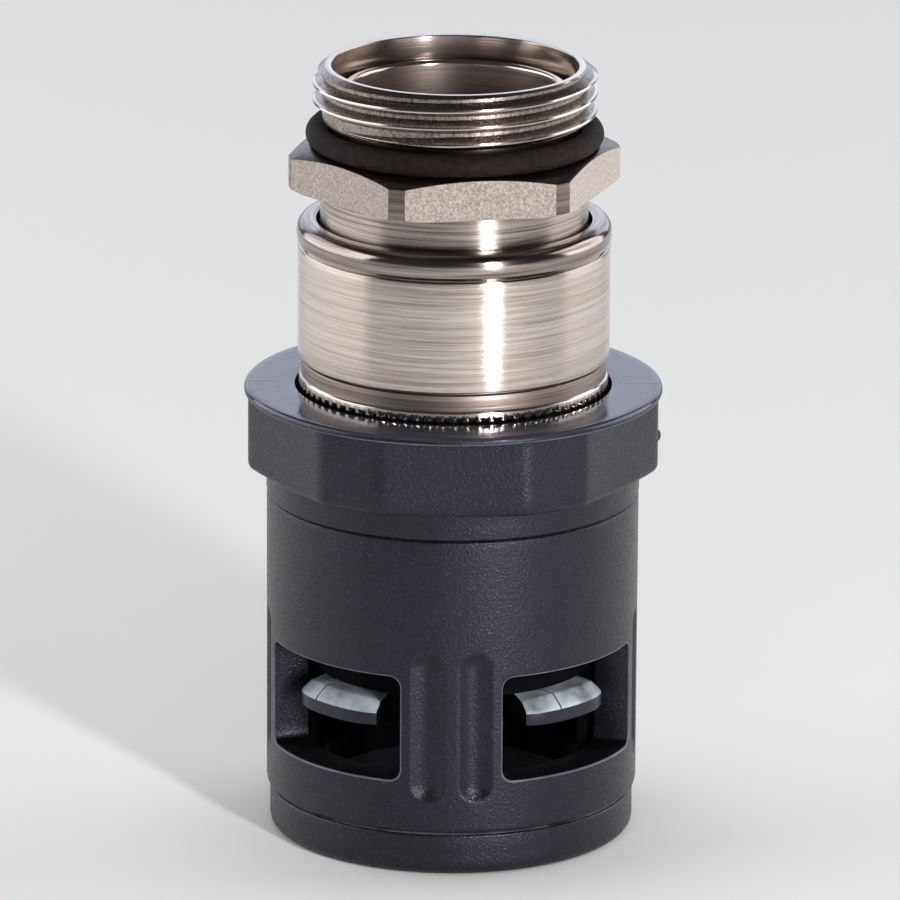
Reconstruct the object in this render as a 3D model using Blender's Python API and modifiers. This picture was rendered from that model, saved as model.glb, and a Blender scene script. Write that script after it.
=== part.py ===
"""Straight liquidtight connector for corrugated conduit.

A moulded nylon shell takes the conduit from below and holds it with a locking ring whose four claws
look out through windows in the shell. A nickel-plated brass sleeve is pressed into the shell's
collar and carries a nipple with an M25 x 1.5 outside thread, which turns freely in it.

All sizes are in millimetres and become metres where a mesh is made. The origin is at the bottom
centre, +Z points up the axis, and the windows face +X, +Y, -X and -Y.
"""
import math

import bmesh
import bpy
from mathutils import Matrix, Vector

MM = 0.001

# Clearances and fineness
GAP = 0.3                      # between pieces that touch on the real connector
TURNED_STEPS = 48              # flats round the outer pieces
INNER_STEPS = 32               # flats round the seals and the liner
FILLET_STEPS = 2               # flats round a filleted corner
FLUTE_STEPS = 16               # flats round a flute's cutter
FLUTE_END_STEPS = 4            # flats round its ends
SINK = 0.2                     # how far a blank reaches into the one it is joined with
CUT_PAST = 1.0                 # how far a cutter reaches past what it cuts
MERGE = 0.00001                # metres, closes a turned shape on itself

# Conduit end
CONDUIT_D = 21.2               # outside of the corrugated conduit
CONDUIT_PLAY = 0.3             # room round the conduit
END_RING_HEIGHT = 3.7
END_RING_WALL = 5.2
END_RING_EDGE = 0.9            # rounded lower edge
SPIGOT_WALL = 1.85             # part of the locking ring inside the barrel
SPIGOT_HEIGHT = 2.3            # above the end ring
CLAW_FOOT = 9.15               # underside of the claws above the end ring
CLAW_HEIGHT = 2.3
CLAW_FACE = 1.35               # upright outer face of a claw, below its slope
CLAW_SLOPE = 1.25              # how far the slope runs back for each millimetre that it rises
CLAW_ANGLE = 37.0              # degrees covered by one claw
CLAW_REACH = 2.55              # how far a claw stands out past the spigot
CLAW_BITE = 0.6                # how far a claw reaches over the conduit's rib
POST_ANGLE = 24.0              # degrees covered by one post, which stands behind a web
POST_WALL = 1.3
SLOT_CORNER = 0.4              # rounded corners of the openings between the posts
HOOP_HEIGHT = 3.25             # hoop on the posts, from which the claws hang
HOOP_INSET = 0.3               # hoop inside the posts
HINGE_SINK = 0.5               # how far a claw's hinge runs up into the hoop

# Moulded shell
BARREL_WALL = 3.3
BARREL_LENGTH = 26.4
WINDOWS = 4
WINDOW_ANGLE = 58.0
WINDOW_SILL = 4.55             # above the barrel's lower end
WINDOW_HEIGHT = 9.45
WINDOW_CORNER = 1.0
FLUTE_FOOT = 2.8               # above the barrel's lower end
FLUTE_LENGTH = 13.5
FLUTE_WIDTH = 2.8
FLUTE_DEPTH = 0.6
FLUTE_SPREAD = 15.0            # degrees between the two flutes of a web
LINE_DEPTH = 0.25              # fine groove between barrel and band
LINE_WIDTH = 0.3
BAND_HEIGHT = 2.6
COLLAR_HEIGHT = 7.4
COLLAR_STEP = 1.9              # corners of the collar past the barrel
COLLAR_FACE_ANGLE = 41.6       # degrees covered by one wide face of the collar
COLLAR_SIDES = 6
COLLAR_RIM_HEIGHT = 0.6        # round rim on top of the faces
COLLAR_RIM_STEP = 0.15         # rim past the corners
COLLAR_RIM_DRAFT = 0.25        # fall of the rim's underside towards the faces
COLLAR_EDGE = 0.45             # rounded upper edge of the rim
COLLAR_FOOT_EDGE = 0.6         # rounded lower edge of the faces
STOP_HEIGHT = 4.4              # shoulder that the conduit butts against
SOCKET_DEPTH = 8.6             # bore in the collar for the sleeve
MOUTH_EDGE = 0.6

# Conduit seal
SEAL_CLEARANCE = 0.6           # free height above the hoop
SEAL_KEY = 0.55                # depth of its seat in the barrel's wall
SEAL_SQUEEZE = 0.25            # how far its lips stand inside the conduit's outside
SEAL_LIPS = 2
SEAL_LIP_SHARE = 0.275         # half of a lip's height, as a share of the lips' spacing

# Outside thread and nipple
THREAD_D = 24.9
THREAD_PITCH = 1.5
THREAD_DEPTH = 0.85
THREAD_LENGTH = 4.7
THREAD_WALL = 0.8              # from the root of the thread to the mouth's bore
THREAD_FADE = 0.22             # turns over which the ridge rises from the core
THREAD_STEPS = 32              # sections in one turn of the ridge
THREAD_CREST = 0.26
THREAD_VALLEY = 0.16           # flat between two ridges
THREAD_END_RISE = 0.05         # what is left of the ridge's height at its ends
THREAD_END_FOOT = 0.4          # share of its width that is left there
THREAD_START = 0.17            # first ridge above the thread's lower end
THREAD_END = 0.75              # last ridge below the rim
THREAD_START_ANGLE = -120.0    # direction in which the ridge leaves the core, in degrees
RIM_BEVEL = 0.25
RIM_BEVEL_HEIGHT = 0.35
MOUTH_DEPTH = 2.7
MOUTH_STEP = 0.6               # narrowing below the mouth
THREAD_RING_SECTION = 1.7
THREAD_RING_COLLAR = 0.1       # plain land between O-ring and thread
THREAD_RING_SINK = 0.65        # depth of the O-ring's seat below the thread's root
HEX_STEP = 0.55                # hexagon's faces past the thread's crests
HEX_CORNER_STEP = 1.6          # turned corners past the faces
HEX_SIDES = 6
HEX_HEIGHT = 3.6
HEX_CHAMFER = 20.0             # degrees, outwards from between thread and faces
HEX_TURN = -35.0               # direction of one hexagon face, as the nipple stands
NECK_STEP = 0.75               # neck inside the nipple's spigot
NECK_LENGTH = 3.0
NECK_FLARE = 0.35
SPIGOT_PLAY = 0.3              # between the nipple's spigot and the sleeve
NIPPLE_WALL = 2.3              # wall of the nipple's spigot
SWIVEL_RING_SECTION = 1.0
SWIVEL_RING_DROP = 4.6         # from the spigot's top to the O-ring's middle

# Swivel sleeve
SLEEVE_WALL = 0.9
SLEEVE_LENGTH = 9.9            # smooth, brushed length
SLEEVE_RECESS_HEIGHT = 1.8
SLEEVE_RECESS = 0.35
SLEEVE_TOP_GROOVE = 0.3
SLEEVE_TOP_GROOVE_DEPTH = 0.2
BEAD_HEIGHT = 2.1
BEAD_ROUND = 0.85
BEAD_SWELL = 0.1               # bead past the smooth length
KNURL_SHOWN = 0.9              # knurl above the collar
KNURL_LENGTH = 4.0
KNURL_TEETH = 76
KNURL_DEPTH = 0.3
KNURL_EASE = 0.15              # teeth below the recess above them
KNURL_SINK = 0.1
SHANK_INSET = 0.1              # shank inside the smooth length
SHANK_WALL = 2.4
SHANK_RING_SECTION = 1.2
SHANK_RING_RISE = 2.4          # from the shank's end to its O-ring's middle
CHAMBER_FLOOR = 1.4            # chamber floor above the smooth length's lower end

# Liner tube
LINER_PLAY = 0.6               # between liner and nipple
LINER_WALL = 0.5
LINER_LIP = 0.25
LINER_LIP_HEIGHT = 0.8
LINER_LIP_RUN = 0.4            # taper from the lip to the tube
LINER_ROUND = 0.25
LINER_DROP = 1.9               # from the nipple's rim down to the lip
LINER_FLANGE = 0.8
RING_SECTION_STEPS = 8

# Radii that follow
conduit_r = CONDUIT_D / 2
ring_bore_r = conduit_r + CONDUIT_PLAY
spigot_r = ring_bore_r + SPIGOT_WALL
barrel_bore_r = spigot_r + GAP
barrel_r = barrel_bore_r + BARREL_WALL
end_ring_r = ring_bore_r + END_RING_WALL
claw_r = spigot_r + CLAW_REACH
claw_tip_r = conduit_r - CLAW_BITE
seal_seat_r = barrel_bore_r + SEAL_KEY
seal_r = seal_seat_r - GAP

thread_r = THREAD_D / 2
thread_root_r = thread_r - THREAD_DEPTH
mouth_r = thread_root_r - THREAD_WALL
nipple_bore_r = mouth_r - MOUTH_STEP
nipple_spigot_r = nipple_bore_r + NIPPLE_WALL
neck_r = nipple_spigot_r - NECK_STEP
hex_face_r = thread_r + HEX_STEP
hex_corner_r = hex_face_r + HEX_CORNER_STEP
liner_r = nipple_bore_r - LINER_PLAY
liner_bore_r = liner_r - LINER_WALL
chamber_r = nipple_spigot_r + SPIGOT_PLAY
sleeve_r = chamber_r + SLEEVE_WALL
bead_r = sleeve_r + BEAD_SWELL
shank_r = sleeve_r - SHANK_INSET
shank_bore_r = shank_r - SHANK_WALL
socket_r = shank_r + GAP
stop_r = min(liner_bore_r, conduit_r - CLAW_BITE)
liner_flange_r = shank_r - GAP
corner_r = max(barrel_r + COLLAR_STEP, socket_r + BARREL_WALL)
rim_r = corner_r + COLLAR_RIM_STEP
face_r = corner_r * math.cos(math.radians(COLLAR_FACE_ANGLE / 2))

# Heights that follow, upwards
barrel_foot_z = END_RING_HEIGHT + GAP
barrel_top_z = barrel_foot_z + BARREL_LENGTH
collar_foot_z = barrel_top_z + BAND_HEIGHT
collar_top_z = collar_foot_z + COLLAR_HEIGHT
socket_floor_z = collar_top_z - SOCKET_DEPTH
stop_z = socket_floor_z - STOP_HEIGHT
seal_top_z = stop_z - GAP
window_sill_z = barrel_foot_z + WINDOW_SILL
spigot_top_z = END_RING_HEIGHT + SPIGOT_HEIGHT
claw_foot_z = END_RING_HEIGHT + CLAW_FOOT
claw_top_z = claw_foot_z + CLAW_HEIGHT
hoop_top_z = claw_top_z + HOOP_HEIGHT
seal_foot_z = hoop_top_z + SEAL_CLEARANCE
liner_foot_z = socket_floor_z + GAP
shank_foot_z = liner_foot_z + LINER_FLANGE + GAP
knurl_top_z = collar_top_z + KNURL_SHOWN
sleeve_foot_z = knurl_top_z + SLEEVE_RECESS_HEIGHT
chamber_floor_z = sleeve_foot_z + CHAMBER_FLOOR
sleeve_top_z = sleeve_foot_z + SLEEVE_LENGTH
bead_foot_z = sleeve_top_z + SLEEVE_TOP_GROOVE
bead_top_z = bead_foot_z + BEAD_HEIGHT
lip_z = bead_top_z - BEAD_HEIGHT - GAP
nipple_foot_z = chamber_floor_z + GAP
nipple_shoulder_z = lip_z - GAP
hex_foot_z = bead_top_z + NECK_LENGTH
hex_top_z = hex_foot_z + HEX_HEIGHT
thread_ring_z = hex_top_z + GAP + THREAD_RING_SECTION / 2
ring_seat_top_z = thread_ring_z + THREAD_RING_SECTION / 2 + GAP
thread_foot_z = ring_seat_top_z + THREAD_RING_COLLAR
rim_z = thread_foot_z + THREAD_LENGTH
liner_top_z = rim_z - LINER_DROP
swivel_ring_z = nipple_shoulder_z - SWIVEL_RING_DROP
shank_ring_z = shank_foot_z + SHANK_RING_RISE


def new_collection(name):
    """Returns an empty collection in the scene."""
    collection = bpy.data.collections.new(name)
    bpy.context.scene.collection.children.link(collection)
    return collection


def finish_material(name, colour, roughness, metallic):
    """Returns a plain Principled material."""
    material = bpy.data.materials.new(name)
    material.use_nodes = True
    shader = material.node_tree.nodes["Principled BSDF"]
    shader.inputs["Base Color"].default_value = (*colour, 1.0)
    shader.inputs["Roughness"].default_value = roughness
    shader.inputs["Metallic"].default_value = metallic
    material.diffuse_color = (*colour, 1.0)
    return material


def add_object(name, mesh, collection, material=None):
    """Links a mesh as a named object."""
    shape = bpy.data.objects.new(name, mesh)
    collection.objects.link(shape)
    if material:
        mesh.materials.append(material)
    return shape


def mark_cutter(shape):
    """Shows a cutter as wires and keeps it out of the model."""
    shape.hide_render = True
    shape.display_type = 'WIRE'
    return shape


def mesh_from(bm, name):
    """Turns a bmesh in millimetres into a mesh in metres."""
    bmesh.ops.scale(bm, vec=Vector((MM, MM, MM)), verts=bm.verts)
    bmesh.ops.recalc_face_normals(bm, faces=bm.faces)
    mesh = bpy.data.meshes.new(name)
    bm.to_mesh(mesh)
    bm.free()
    return mesh


def rounded_outline(corners, fillet_steps=FILLET_STEPS):
    """Returns outline points from corners of (radius, height, fillet radius)."""
    points = []
    count = len(corners)
    for index, (radius, height, fillet) in enumerate(corners):
        here = Vector((radius, height))
        if not fillet:
            points.append(here)
            continue
        before = Vector(corners[index - 1][:2]) - here
        after = Vector(corners[(index + 1) % count][:2]) - here
        half_angle = before.angle(after) / 2
        limit = 0.45 * min(before.length, after.length) * math.tan(half_angle)
        fillet = min(fillet, limit)
        reach = fillet / math.tan(half_angle)
        start = here + before.normalized() * reach
        end = here + after.normalized() * reach
        bisector = (before.normalized() + after.normalized()).normalized()
        centre = here + bisector * (fillet / math.sin(half_angle))
        sweep = (start - centre).angle_signed(end - centre)
        for step in range(fillet_steps + 1):
            turn = Matrix.Rotation(-sweep * step / fillet_steps, 2)
            points.append(centre + turn @ (start - centre))
    return points


def turned(name, outline, collection, material=None, closed=True, steps=TURNED_STEPS):
    """Turns an outline of (radius, height) points, outer side downwards, about the axis."""
    mesh = bpy.data.meshes.new(name)
    vertices = [(radius * MM, 0.0, height * MM) for radius, height in outline]
    edges = [(i, i + 1) for i in range(len(vertices) - 1)]
    if closed:
        edges.append((len(vertices) - 1, 0))
    mesh.from_pydata(vertices, edges, [])
    shape = add_object(name, mesh, collection, material)
    screw = shape.modifiers.new("turn", 'SCREW')
    screw.axis = 'Z'
    screw.steps = steps
    screw.render_steps = steps
    screw.use_merge_vertices = True
    screw.merge_threshold = MERGE
    return shape


def combine(shape, tool, operation):
    """Adds an exact Boolean with one cutter or blank."""
    boolean = shape.modifiers.new(f"{operation.lower()}_{tool.name}", 'BOOLEAN')
    boolean.operation = operation
    boolean.solver = 'EXACT'
    boolean.object = tool
    return boolean


def sector_block(name, inner_r, outer_r, angle, low_z, high_z, centres, collection, corner=0.0):
    """Makes blocks that follow the barrel's curve, one about each centre angle."""
    middle_r = (inner_r + outer_r) / 2
    width = math.radians(angle) * middle_r
    bm = bmesh.new()
    bmesh.ops.create_cube(bm, size=1.0)
    bmesh.ops.scale(bm, vec=Vector((outer_r - inner_r, width, high_z - low_z)), verts=bm.verts)
    if corner:
        radial = [e for e in bm.edges if abs((e.verts[0].co - e.verts[1].co).x) > MERGE]
        bmesh.ops.bevel(bm, geom=radial, offset=corner, affect='EDGES', segments=FILLET_STEPS,
                        profile=0.5, material=-1)
    slices = max(2, round(TURNED_STEPS * angle / 360.0))
    for index in range(1, slices):
        across = width * (index / slices - 0.5)
        bmesh.ops.bisect_plane(bm, geom=bm.verts[:] + bm.edges[:] + bm.faces[:],
                               plane_co=(0, across, 0), plane_no=(0, 1, 0))
    for vert in bm.verts:
        turn = vert.co.y / middle_r
        radius = middle_r + vert.co.x
        vert.co = Vector((radius * math.cos(turn), radius * math.sin(turn),
                          vert.co.z + (low_z + high_z) / 2))
    first = bm.verts[:] + bm.edges[:] + bm.faces[:]
    for centre in centres[1:]:
        copy = bmesh.ops.duplicate(bm, geom=first)["geom"]
        copied = [v for v in copy if isinstance(v, bmesh.types.BMVert)]
        bmesh.ops.rotate(bm, cent=(0, 0, 0), verts=copied,
                         matrix=Matrix.Rotation(math.radians(centre - centres[0]), 3, 'Z'))
    bmesh.ops.rotate(bm, cent=(0, 0, 0), verts=bm.verts,
                     matrix=Matrix.Rotation(math.radians(centres[0]), 3, 'Z'))
    return mark_cutter(add_object(name, mesh_from(bm, name), collection))


def prism(sides, radius, low_z, high_z, turn):
    """Makes an upright prism with one face looking along the given direction."""
    bm = bmesh.new()
    verts = bmesh.ops.create_cone(bm, cap_ends=True, segments=sides, radius1=radius,
                                  radius2=radius, depth=high_z - low_z)["verts"]
    bmesh.ops.translate(bm, vec=(0, 0, (low_z + high_z) / 2), verts=verts)
    offset = math.radians(turn + 180.0 / sides)
    first = math.atan2(verts[0].co.y, verts[0].co.x)
    bmesh.ops.rotate(bm, cent=(0, 0, 0), verts=bm.verts,
                     matrix=Matrix.Rotation(offset - first, 3, 'Z'))
    return bm


def around(count, start=0.0):
    """Returns equally spaced directions in degrees."""
    return [start + 360.0 * index / count for index in range(count)]


window_directions = around(WINDOWS)
web_directions = around(WINDOWS, 180.0 / WINDOWS)
front_web = -180.0 / WINDOWS


def make_collar(blanks):
    """Hexagonal collar with cut corners, under a round rim."""
    bm = prism(COLLAR_SIDES, face_r / math.cos(math.pi / COLLAR_SIDES), collar_foot_z,
               collar_top_z - COLLAR_RIM_HEIGHT / 2, front_web)
    upright = [e for e in bm.edges if abs((e.verts[0].co - e.verts[1].co).z) > GAP]
    corner_half = math.pi / COLLAR_SIDES - math.radians(COLLAR_FACE_ANGLE / 2)
    bmesh.ops.bevel(bm, geom=upright, offset=2 * corner_r * math.sin(corner_half),
                    offset_type='WIDTH', affect='EDGES', segments=1, profile=0.5, material=-1)
    lower = [e for e in bm.edges if all(v.co.z < collar_foot_z + MERGE for v in e.verts)]
    bmesh.ops.bevel(bm, geom=lower, offset=COLLAR_FOOT_EDGE, affect='EDGES',
                    segments=FILLET_STEPS, profile=0.5, material=-1)
    return mark_cutter(add_object("collar_faces", mesh_from(bm, "collar_faces"), blanks))


def make_flutes(cutters):
    """Round-bottomed grooves with round ends, two on each web between windows."""
    radius = ((FLUTE_WIDTH / 2) ** 2 + FLUTE_DEPTH ** 2) / (2 * FLUTE_DEPTH)
    centre_r = barrel_r + radius - FLUTE_DEPTH
    half = FLUTE_LENGTH / 2
    end = half - radius
    angles = [math.pi / 2 * index / FLUTE_END_STEPS for index in range(FLUTE_END_STEPS + 1)]
    outline = [(radius * math.sin(a), end + radius * math.cos(a)) for a in angles]
    outline += [(radius * math.cos(a), -end - radius * math.sin(a)) for a in angles]
    group = bpy.data.collections.new("flute_cutters")
    cutters.children.link(group)
    middle_z = barrel_foot_z + FLUTE_FOOT + half
    for web, direction in enumerate(web_directions):
        for side in (-1, 1):
            turn = math.radians(direction + side * FLUTE_SPREAD / 2)
            flute = turned(f"flute_{web}_{'left' if side < 0 else 'right'}", outline, group,
                           closed=False, steps=FLUTE_STEPS)
            flute.location = Vector((centre_r * math.cos(turn), centre_r * math.sin(turn),
                                     middle_z)) * MM
            mark_cutter(flute)
    return group


def make_body_shell(parts, cutters, material):
    """Moulded shell: barrel, band, collar, stop shoulder, windows and flutes."""
    rim_foot_z = collar_top_z - COLLAR_RIM_HEIGHT
    corners = [
        (rim_r, collar_top_z, COLLAR_EDGE),
        (rim_r, rim_foot_z, 0),
        (barrel_r, rim_foot_z - COLLAR_RIM_DRAFT, 0),
        (barrel_r, barrel_top_z + LINE_WIDTH, 0),
        (barrel_r - LINE_DEPTH, barrel_top_z + LINE_WIDTH / 2, 0),
        (barrel_r, barrel_top_z, 0),
        (barrel_r, barrel_foot_z, 0),
        (barrel_bore_r, barrel_foot_z, 0),
        (barrel_bore_r, seal_foot_z - GAP, 0),
        (seal_seat_r, seal_foot_z - GAP, 0),
        (seal_seat_r, stop_z, 0),
        (stop_r, stop_z, 0),
        (stop_r, socket_floor_z, 0),
        (socket_r, socket_floor_z, 0),
        (socket_r, collar_top_z, 0),
    ]
    shell = turned("body_shell", rounded_outline(corners), parts, material)
    collar = make_collar(cutters)
    hollow = turned("collar_hollow", [(socket_r + MOUTH_EDGE, collar_top_z + GAP),
                                      (socket_r + MOUTH_EDGE, collar_foot_z - GAP),
                                      (0.0, collar_foot_z - GAP), (0.0, collar_top_z + GAP)],
                    cutters, closed=True)
    mark_cutter(hollow)
    combine(collar, hollow, 'DIFFERENCE')
    combine(shell, collar, 'UNION')
    windows = sector_block("window_cutters", barrel_bore_r - MOUTH_EDGE, barrel_r + COLLAR_STEP,
                           WINDOW_ANGLE, window_sill_z, window_sill_z + WINDOW_HEIGHT,
                           window_directions, cutters, corner=WINDOW_CORNER)
    combine(shell, windows, 'DIFFERENCE')
    flutes = shell.modifiers.new("flutes", 'BOOLEAN')
    flutes.operation = 'DIFFERENCE'
    flutes.solver = 'EXACT'
    flutes.operand_type = 'COLLECTION'
    flutes.collection = make_flutes(cutters)
    return shell


def make_claws(post_bore_r, hoop_r, cutters):
    """Four claws, each with a thin hinge on top that runs into the hoop."""
    claw_back_r = claw_r - (CLAW_HEIGHT - CLAW_FACE) * CLAW_SLOPE
    tip_z = claw_foot_z + CLAW_FACE
    corners = [
        (claw_back_r, claw_top_z),
        (claw_r, tip_z),
        (claw_r, claw_foot_z),
        (post_bore_r, claw_foot_z),
        (claw_tip_r, tip_z),
        (claw_tip_r, tip_z + GAP),
        (post_bore_r, claw_top_z),
        (post_bore_r + SINK, claw_top_z),
        (post_bore_r + SINK, claw_top_z + HINGE_SINK),
        (hoop_r - SINK, claw_top_z + HINGE_SINK),
        (hoop_r - SINK, claw_top_z),
    ]
    claws = mark_cutter(turned("claws", corners, cutters))
    between = sector_block("claw_cutters", claw_tip_r - CUT_PAST, claw_r + CUT_PAST,
                           360.0 / WINDOWS - CLAW_ANGLE, claw_foot_z - CUT_PAST,
                           claw_top_z + CUT_PAST, web_directions, cutters)
    combine(claws, between, 'DIFFERENCE')
    return claws


def make_locking_ring(parts, cutters, material):
    """End ring with four posts and a hoop, from which four claws hang that catch the conduit."""
    post_bore_r = spigot_r - POST_WALL
    hoop_r = spigot_r - HOOP_INSET
    hoop_foot_z = claw_top_z + GAP
    corners = [
        (hoop_r, hoop_top_z, 0),
        (hoop_r, hoop_foot_z, 0),
        (spigot_r, hoop_foot_z - GAP, 0),
        (spigot_r, END_RING_HEIGHT, 0),
        (end_ring_r, END_RING_HEIGHT, 0),
        (end_ring_r, 0.0, END_RING_EDGE),
        (ring_bore_r, 0.0, MOUTH_EDGE),
        (ring_bore_r, spigot_top_z, 0),
        (post_bore_r, spigot_top_z + GAP, 0),
        (post_bore_r, hoop_top_z, 0),
    ]
    ring = turned("locking_ring", rounded_outline(corners), parts, material)
    openings = sector_block("post_cutters", ring_bore_r - CUT_PAST, spigot_r + CUT_PAST,
                            360.0 / WINDOWS - POST_ANGLE, spigot_top_z, hoop_foot_z,
                            window_directions, cutters, corner=SLOT_CORNER)
    combine(ring, openings, 'DIFFERENCE')
    combine(ring, make_claws(post_bore_r, hoop_r, cutters), 'UNION')
    return ring


def make_conduit_seal(parts, material):
    """Rubber sleeve above the claws, with lips that press on the conduit."""
    lip_r = conduit_r - SEAL_SQUEEZE
    back_r = ring_bore_r
    outline = [(seal_r, seal_top_z), (seal_r, seal_foot_z), (back_r, seal_foot_z)]
    spacing = (seal_top_z - seal_foot_z) / SEAL_LIPS
    lip_half = spacing * SEAL_LIP_SHARE
    for index in range(SEAL_LIPS):
        middle = seal_foot_z + spacing * (index + 0.5)
        outline += [(back_r, middle - lip_half), (lip_r, middle), (back_r, middle + lip_half)]
    outline.append((back_r, seal_top_z))
    return turned("conduit_seal", outline, parts, material, steps=INNER_STEPS)


def make_ring(name, section, height, middle_r, parts, material, steps=INNER_STEPS):
    """O-ring of round section."""
    bpy.ops.mesh.primitive_torus_add(major_segments=steps, minor_segments=RING_SECTION_STEPS,
                                     major_radius=middle_r * MM, minor_radius=section / 2 * MM,
                                     location=(0, 0, height * MM))
    ring = bpy.context.object
    ring.name = name
    ring.data.name = name
    ring.data.materials.append(material)
    for collection in list(ring.users_collection):
        collection.objects.unlink(ring)
    parts.objects.link(ring)
    return ring


def make_sleeve(parts, cutters, material):
    """Turned sleeve: knurled shank, smooth length and rolled bead that holds the nipple in."""
    groove_floor_r = socket_r - 2 * GAP - SHANK_RING_SECTION
    groove_half = SHANK_RING_SECTION / 2 + GAP
    lip_r = neck_r + GAP
    knurl_root_r = shank_r - KNURL_DEPTH
    corners = [
        (bead_r, bead_top_z, BEAD_ROUND),
        (bead_r, bead_foot_z, BEAD_ROUND),
        (sleeve_r - SLEEVE_TOP_GROOVE_DEPTH, bead_foot_z - SLEEVE_TOP_GROOVE / 2, 0),
        (sleeve_r, sleeve_top_z, 0),
        (sleeve_r, sleeve_foot_z, 0),
        (sleeve_r - SLEEVE_RECESS, sleeve_foot_z, 0),
        (sleeve_r - SLEEVE_RECESS, knurl_top_z, 0),
        (knurl_root_r, knurl_top_z - KNURL_EASE / 2, 0),
        (knurl_root_r, shank_ring_z + groove_half, 0),
        (groove_floor_r, shank_ring_z + groove_half, 0),
        (groove_floor_r, shank_ring_z - groove_half, 0),
        (knurl_root_r, shank_ring_z - groove_half, 0),
        (knurl_root_r, shank_foot_z, 0),
        (shank_bore_r, shank_foot_z, 0),
        (shank_bore_r, chamber_floor_z, 0),
        (chamber_r, chamber_floor_z, 0),
        (chamber_r, lip_z, 0),
        (lip_r, lip_z, 0),
        (lip_r, bead_top_z, 0),
    ]
    sleeve = turned("swivel_sleeve", rounded_outline(corners), parts, material)
    knurl_foot_z = knurl_top_z - KNURL_LENGTH
    bm = prism(2 * KNURL_TEETH, shank_r, knurl_foot_z, knurl_top_z - KNURL_EASE, 0.0)
    teeth_step = math.pi / KNURL_TEETH
    for vert in bm.verts:
        place = round(math.atan2(vert.co.y, vert.co.x) / teeth_step - 0.5)
        if place % 2:
            vert.co.xy *= (knurl_root_r - KNURL_SINK) / shank_r
    knurl = mark_cutter(add_object("knurl", mesh_from(bm, "knurl"), cutters))
    core_r = shank_r - CUT_PAST
    core = turned("knurl_core", [(core_r, knurl_top_z + CUT_PAST), (core_r, knurl_foot_z - CUT_PAST),
                                 (0.0, knurl_foot_z - CUT_PAST), (0.0, knurl_top_z + CUT_PAST)],
                  cutters)
    mark_cutter(core)
    combine(knurl, core, 'DIFFERENCE')
    combine(sleeve, knurl, 'UNION')
    return sleeve


def make_liner(parts, material):
    """Thin tube through the swivel, flanged below and rolled at its upper lip."""
    corners = [
        (liner_r + LINER_LIP, liner_top_z, LINER_ROUND),
        (liner_r + LINER_LIP, liner_top_z - LINER_LIP_HEIGHT, 0),
        (liner_r, liner_top_z - LINER_LIP_HEIGHT - LINER_LIP_RUN, 0),
        (liner_r, liner_foot_z + LINER_FLANGE, 0),
        (liner_flange_r, liner_foot_z + LINER_FLANGE, 0),
        (liner_flange_r, liner_foot_z, 0),
        (liner_bore_r, liner_foot_z, 0),
        (liner_bore_r, liner_top_z, LINER_ROUND),
    ]
    return turned("liner_tube", rounded_outline(corners), parts, material, steps=INNER_STEPS)


def thread_ridge(collection):
    """Helical ridge of the outside thread, which sinks into the core at both ends."""
    first_z = thread_foot_z + THREAD_START
    turns = (THREAD_LENGTH - THREAD_START - THREAD_END) / THREAD_PITCH
    sunk_r = thread_root_r - SINK
    least_r = sunk_r + THREAD_END_RISE
    foot_half = (THREAD_PITCH - THREAD_VALLEY) / 2
    count = round(turns * THREAD_STEPS)
    bm = bmesh.new()
    sections = []
    for index in range(count + 1):
        turn = turns * index / count
        rise = min(1.0, turn / THREAD_FADE, (turns - turn) / THREAD_FADE)
        crest_r = least_r + (thread_r - least_r) * rise
        angle = math.radians(THREAD_START_ANGLE) + 2 * math.pi * turn
        height = first_z + THREAD_PITCH * turn
        foot = foot_half * max(rise, THREAD_END_FOOT)
        outline = [(sunk_r, -foot), (crest_r, -THREAD_CREST / 2), (crest_r, THREAD_CREST / 2),
                   (sunk_r, foot)]
        sections.append([bm.verts.new((r * math.cos(angle), r * math.sin(angle), height + z))
                         for r, z in outline])
    for here, there in zip(sections, sections[1:]):
        for corner in range(4):
            following = (corner + 1) % 4
            bm.faces.new((here[corner], here[following], there[following], there[corner]))
    bm.faces.new(sections[0])
    bm.faces.new(list(reversed(sections[-1])))
    return mark_cutter(add_object("thread_ridge", mesh_from(bm, "thread_ridge"), collection))


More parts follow.
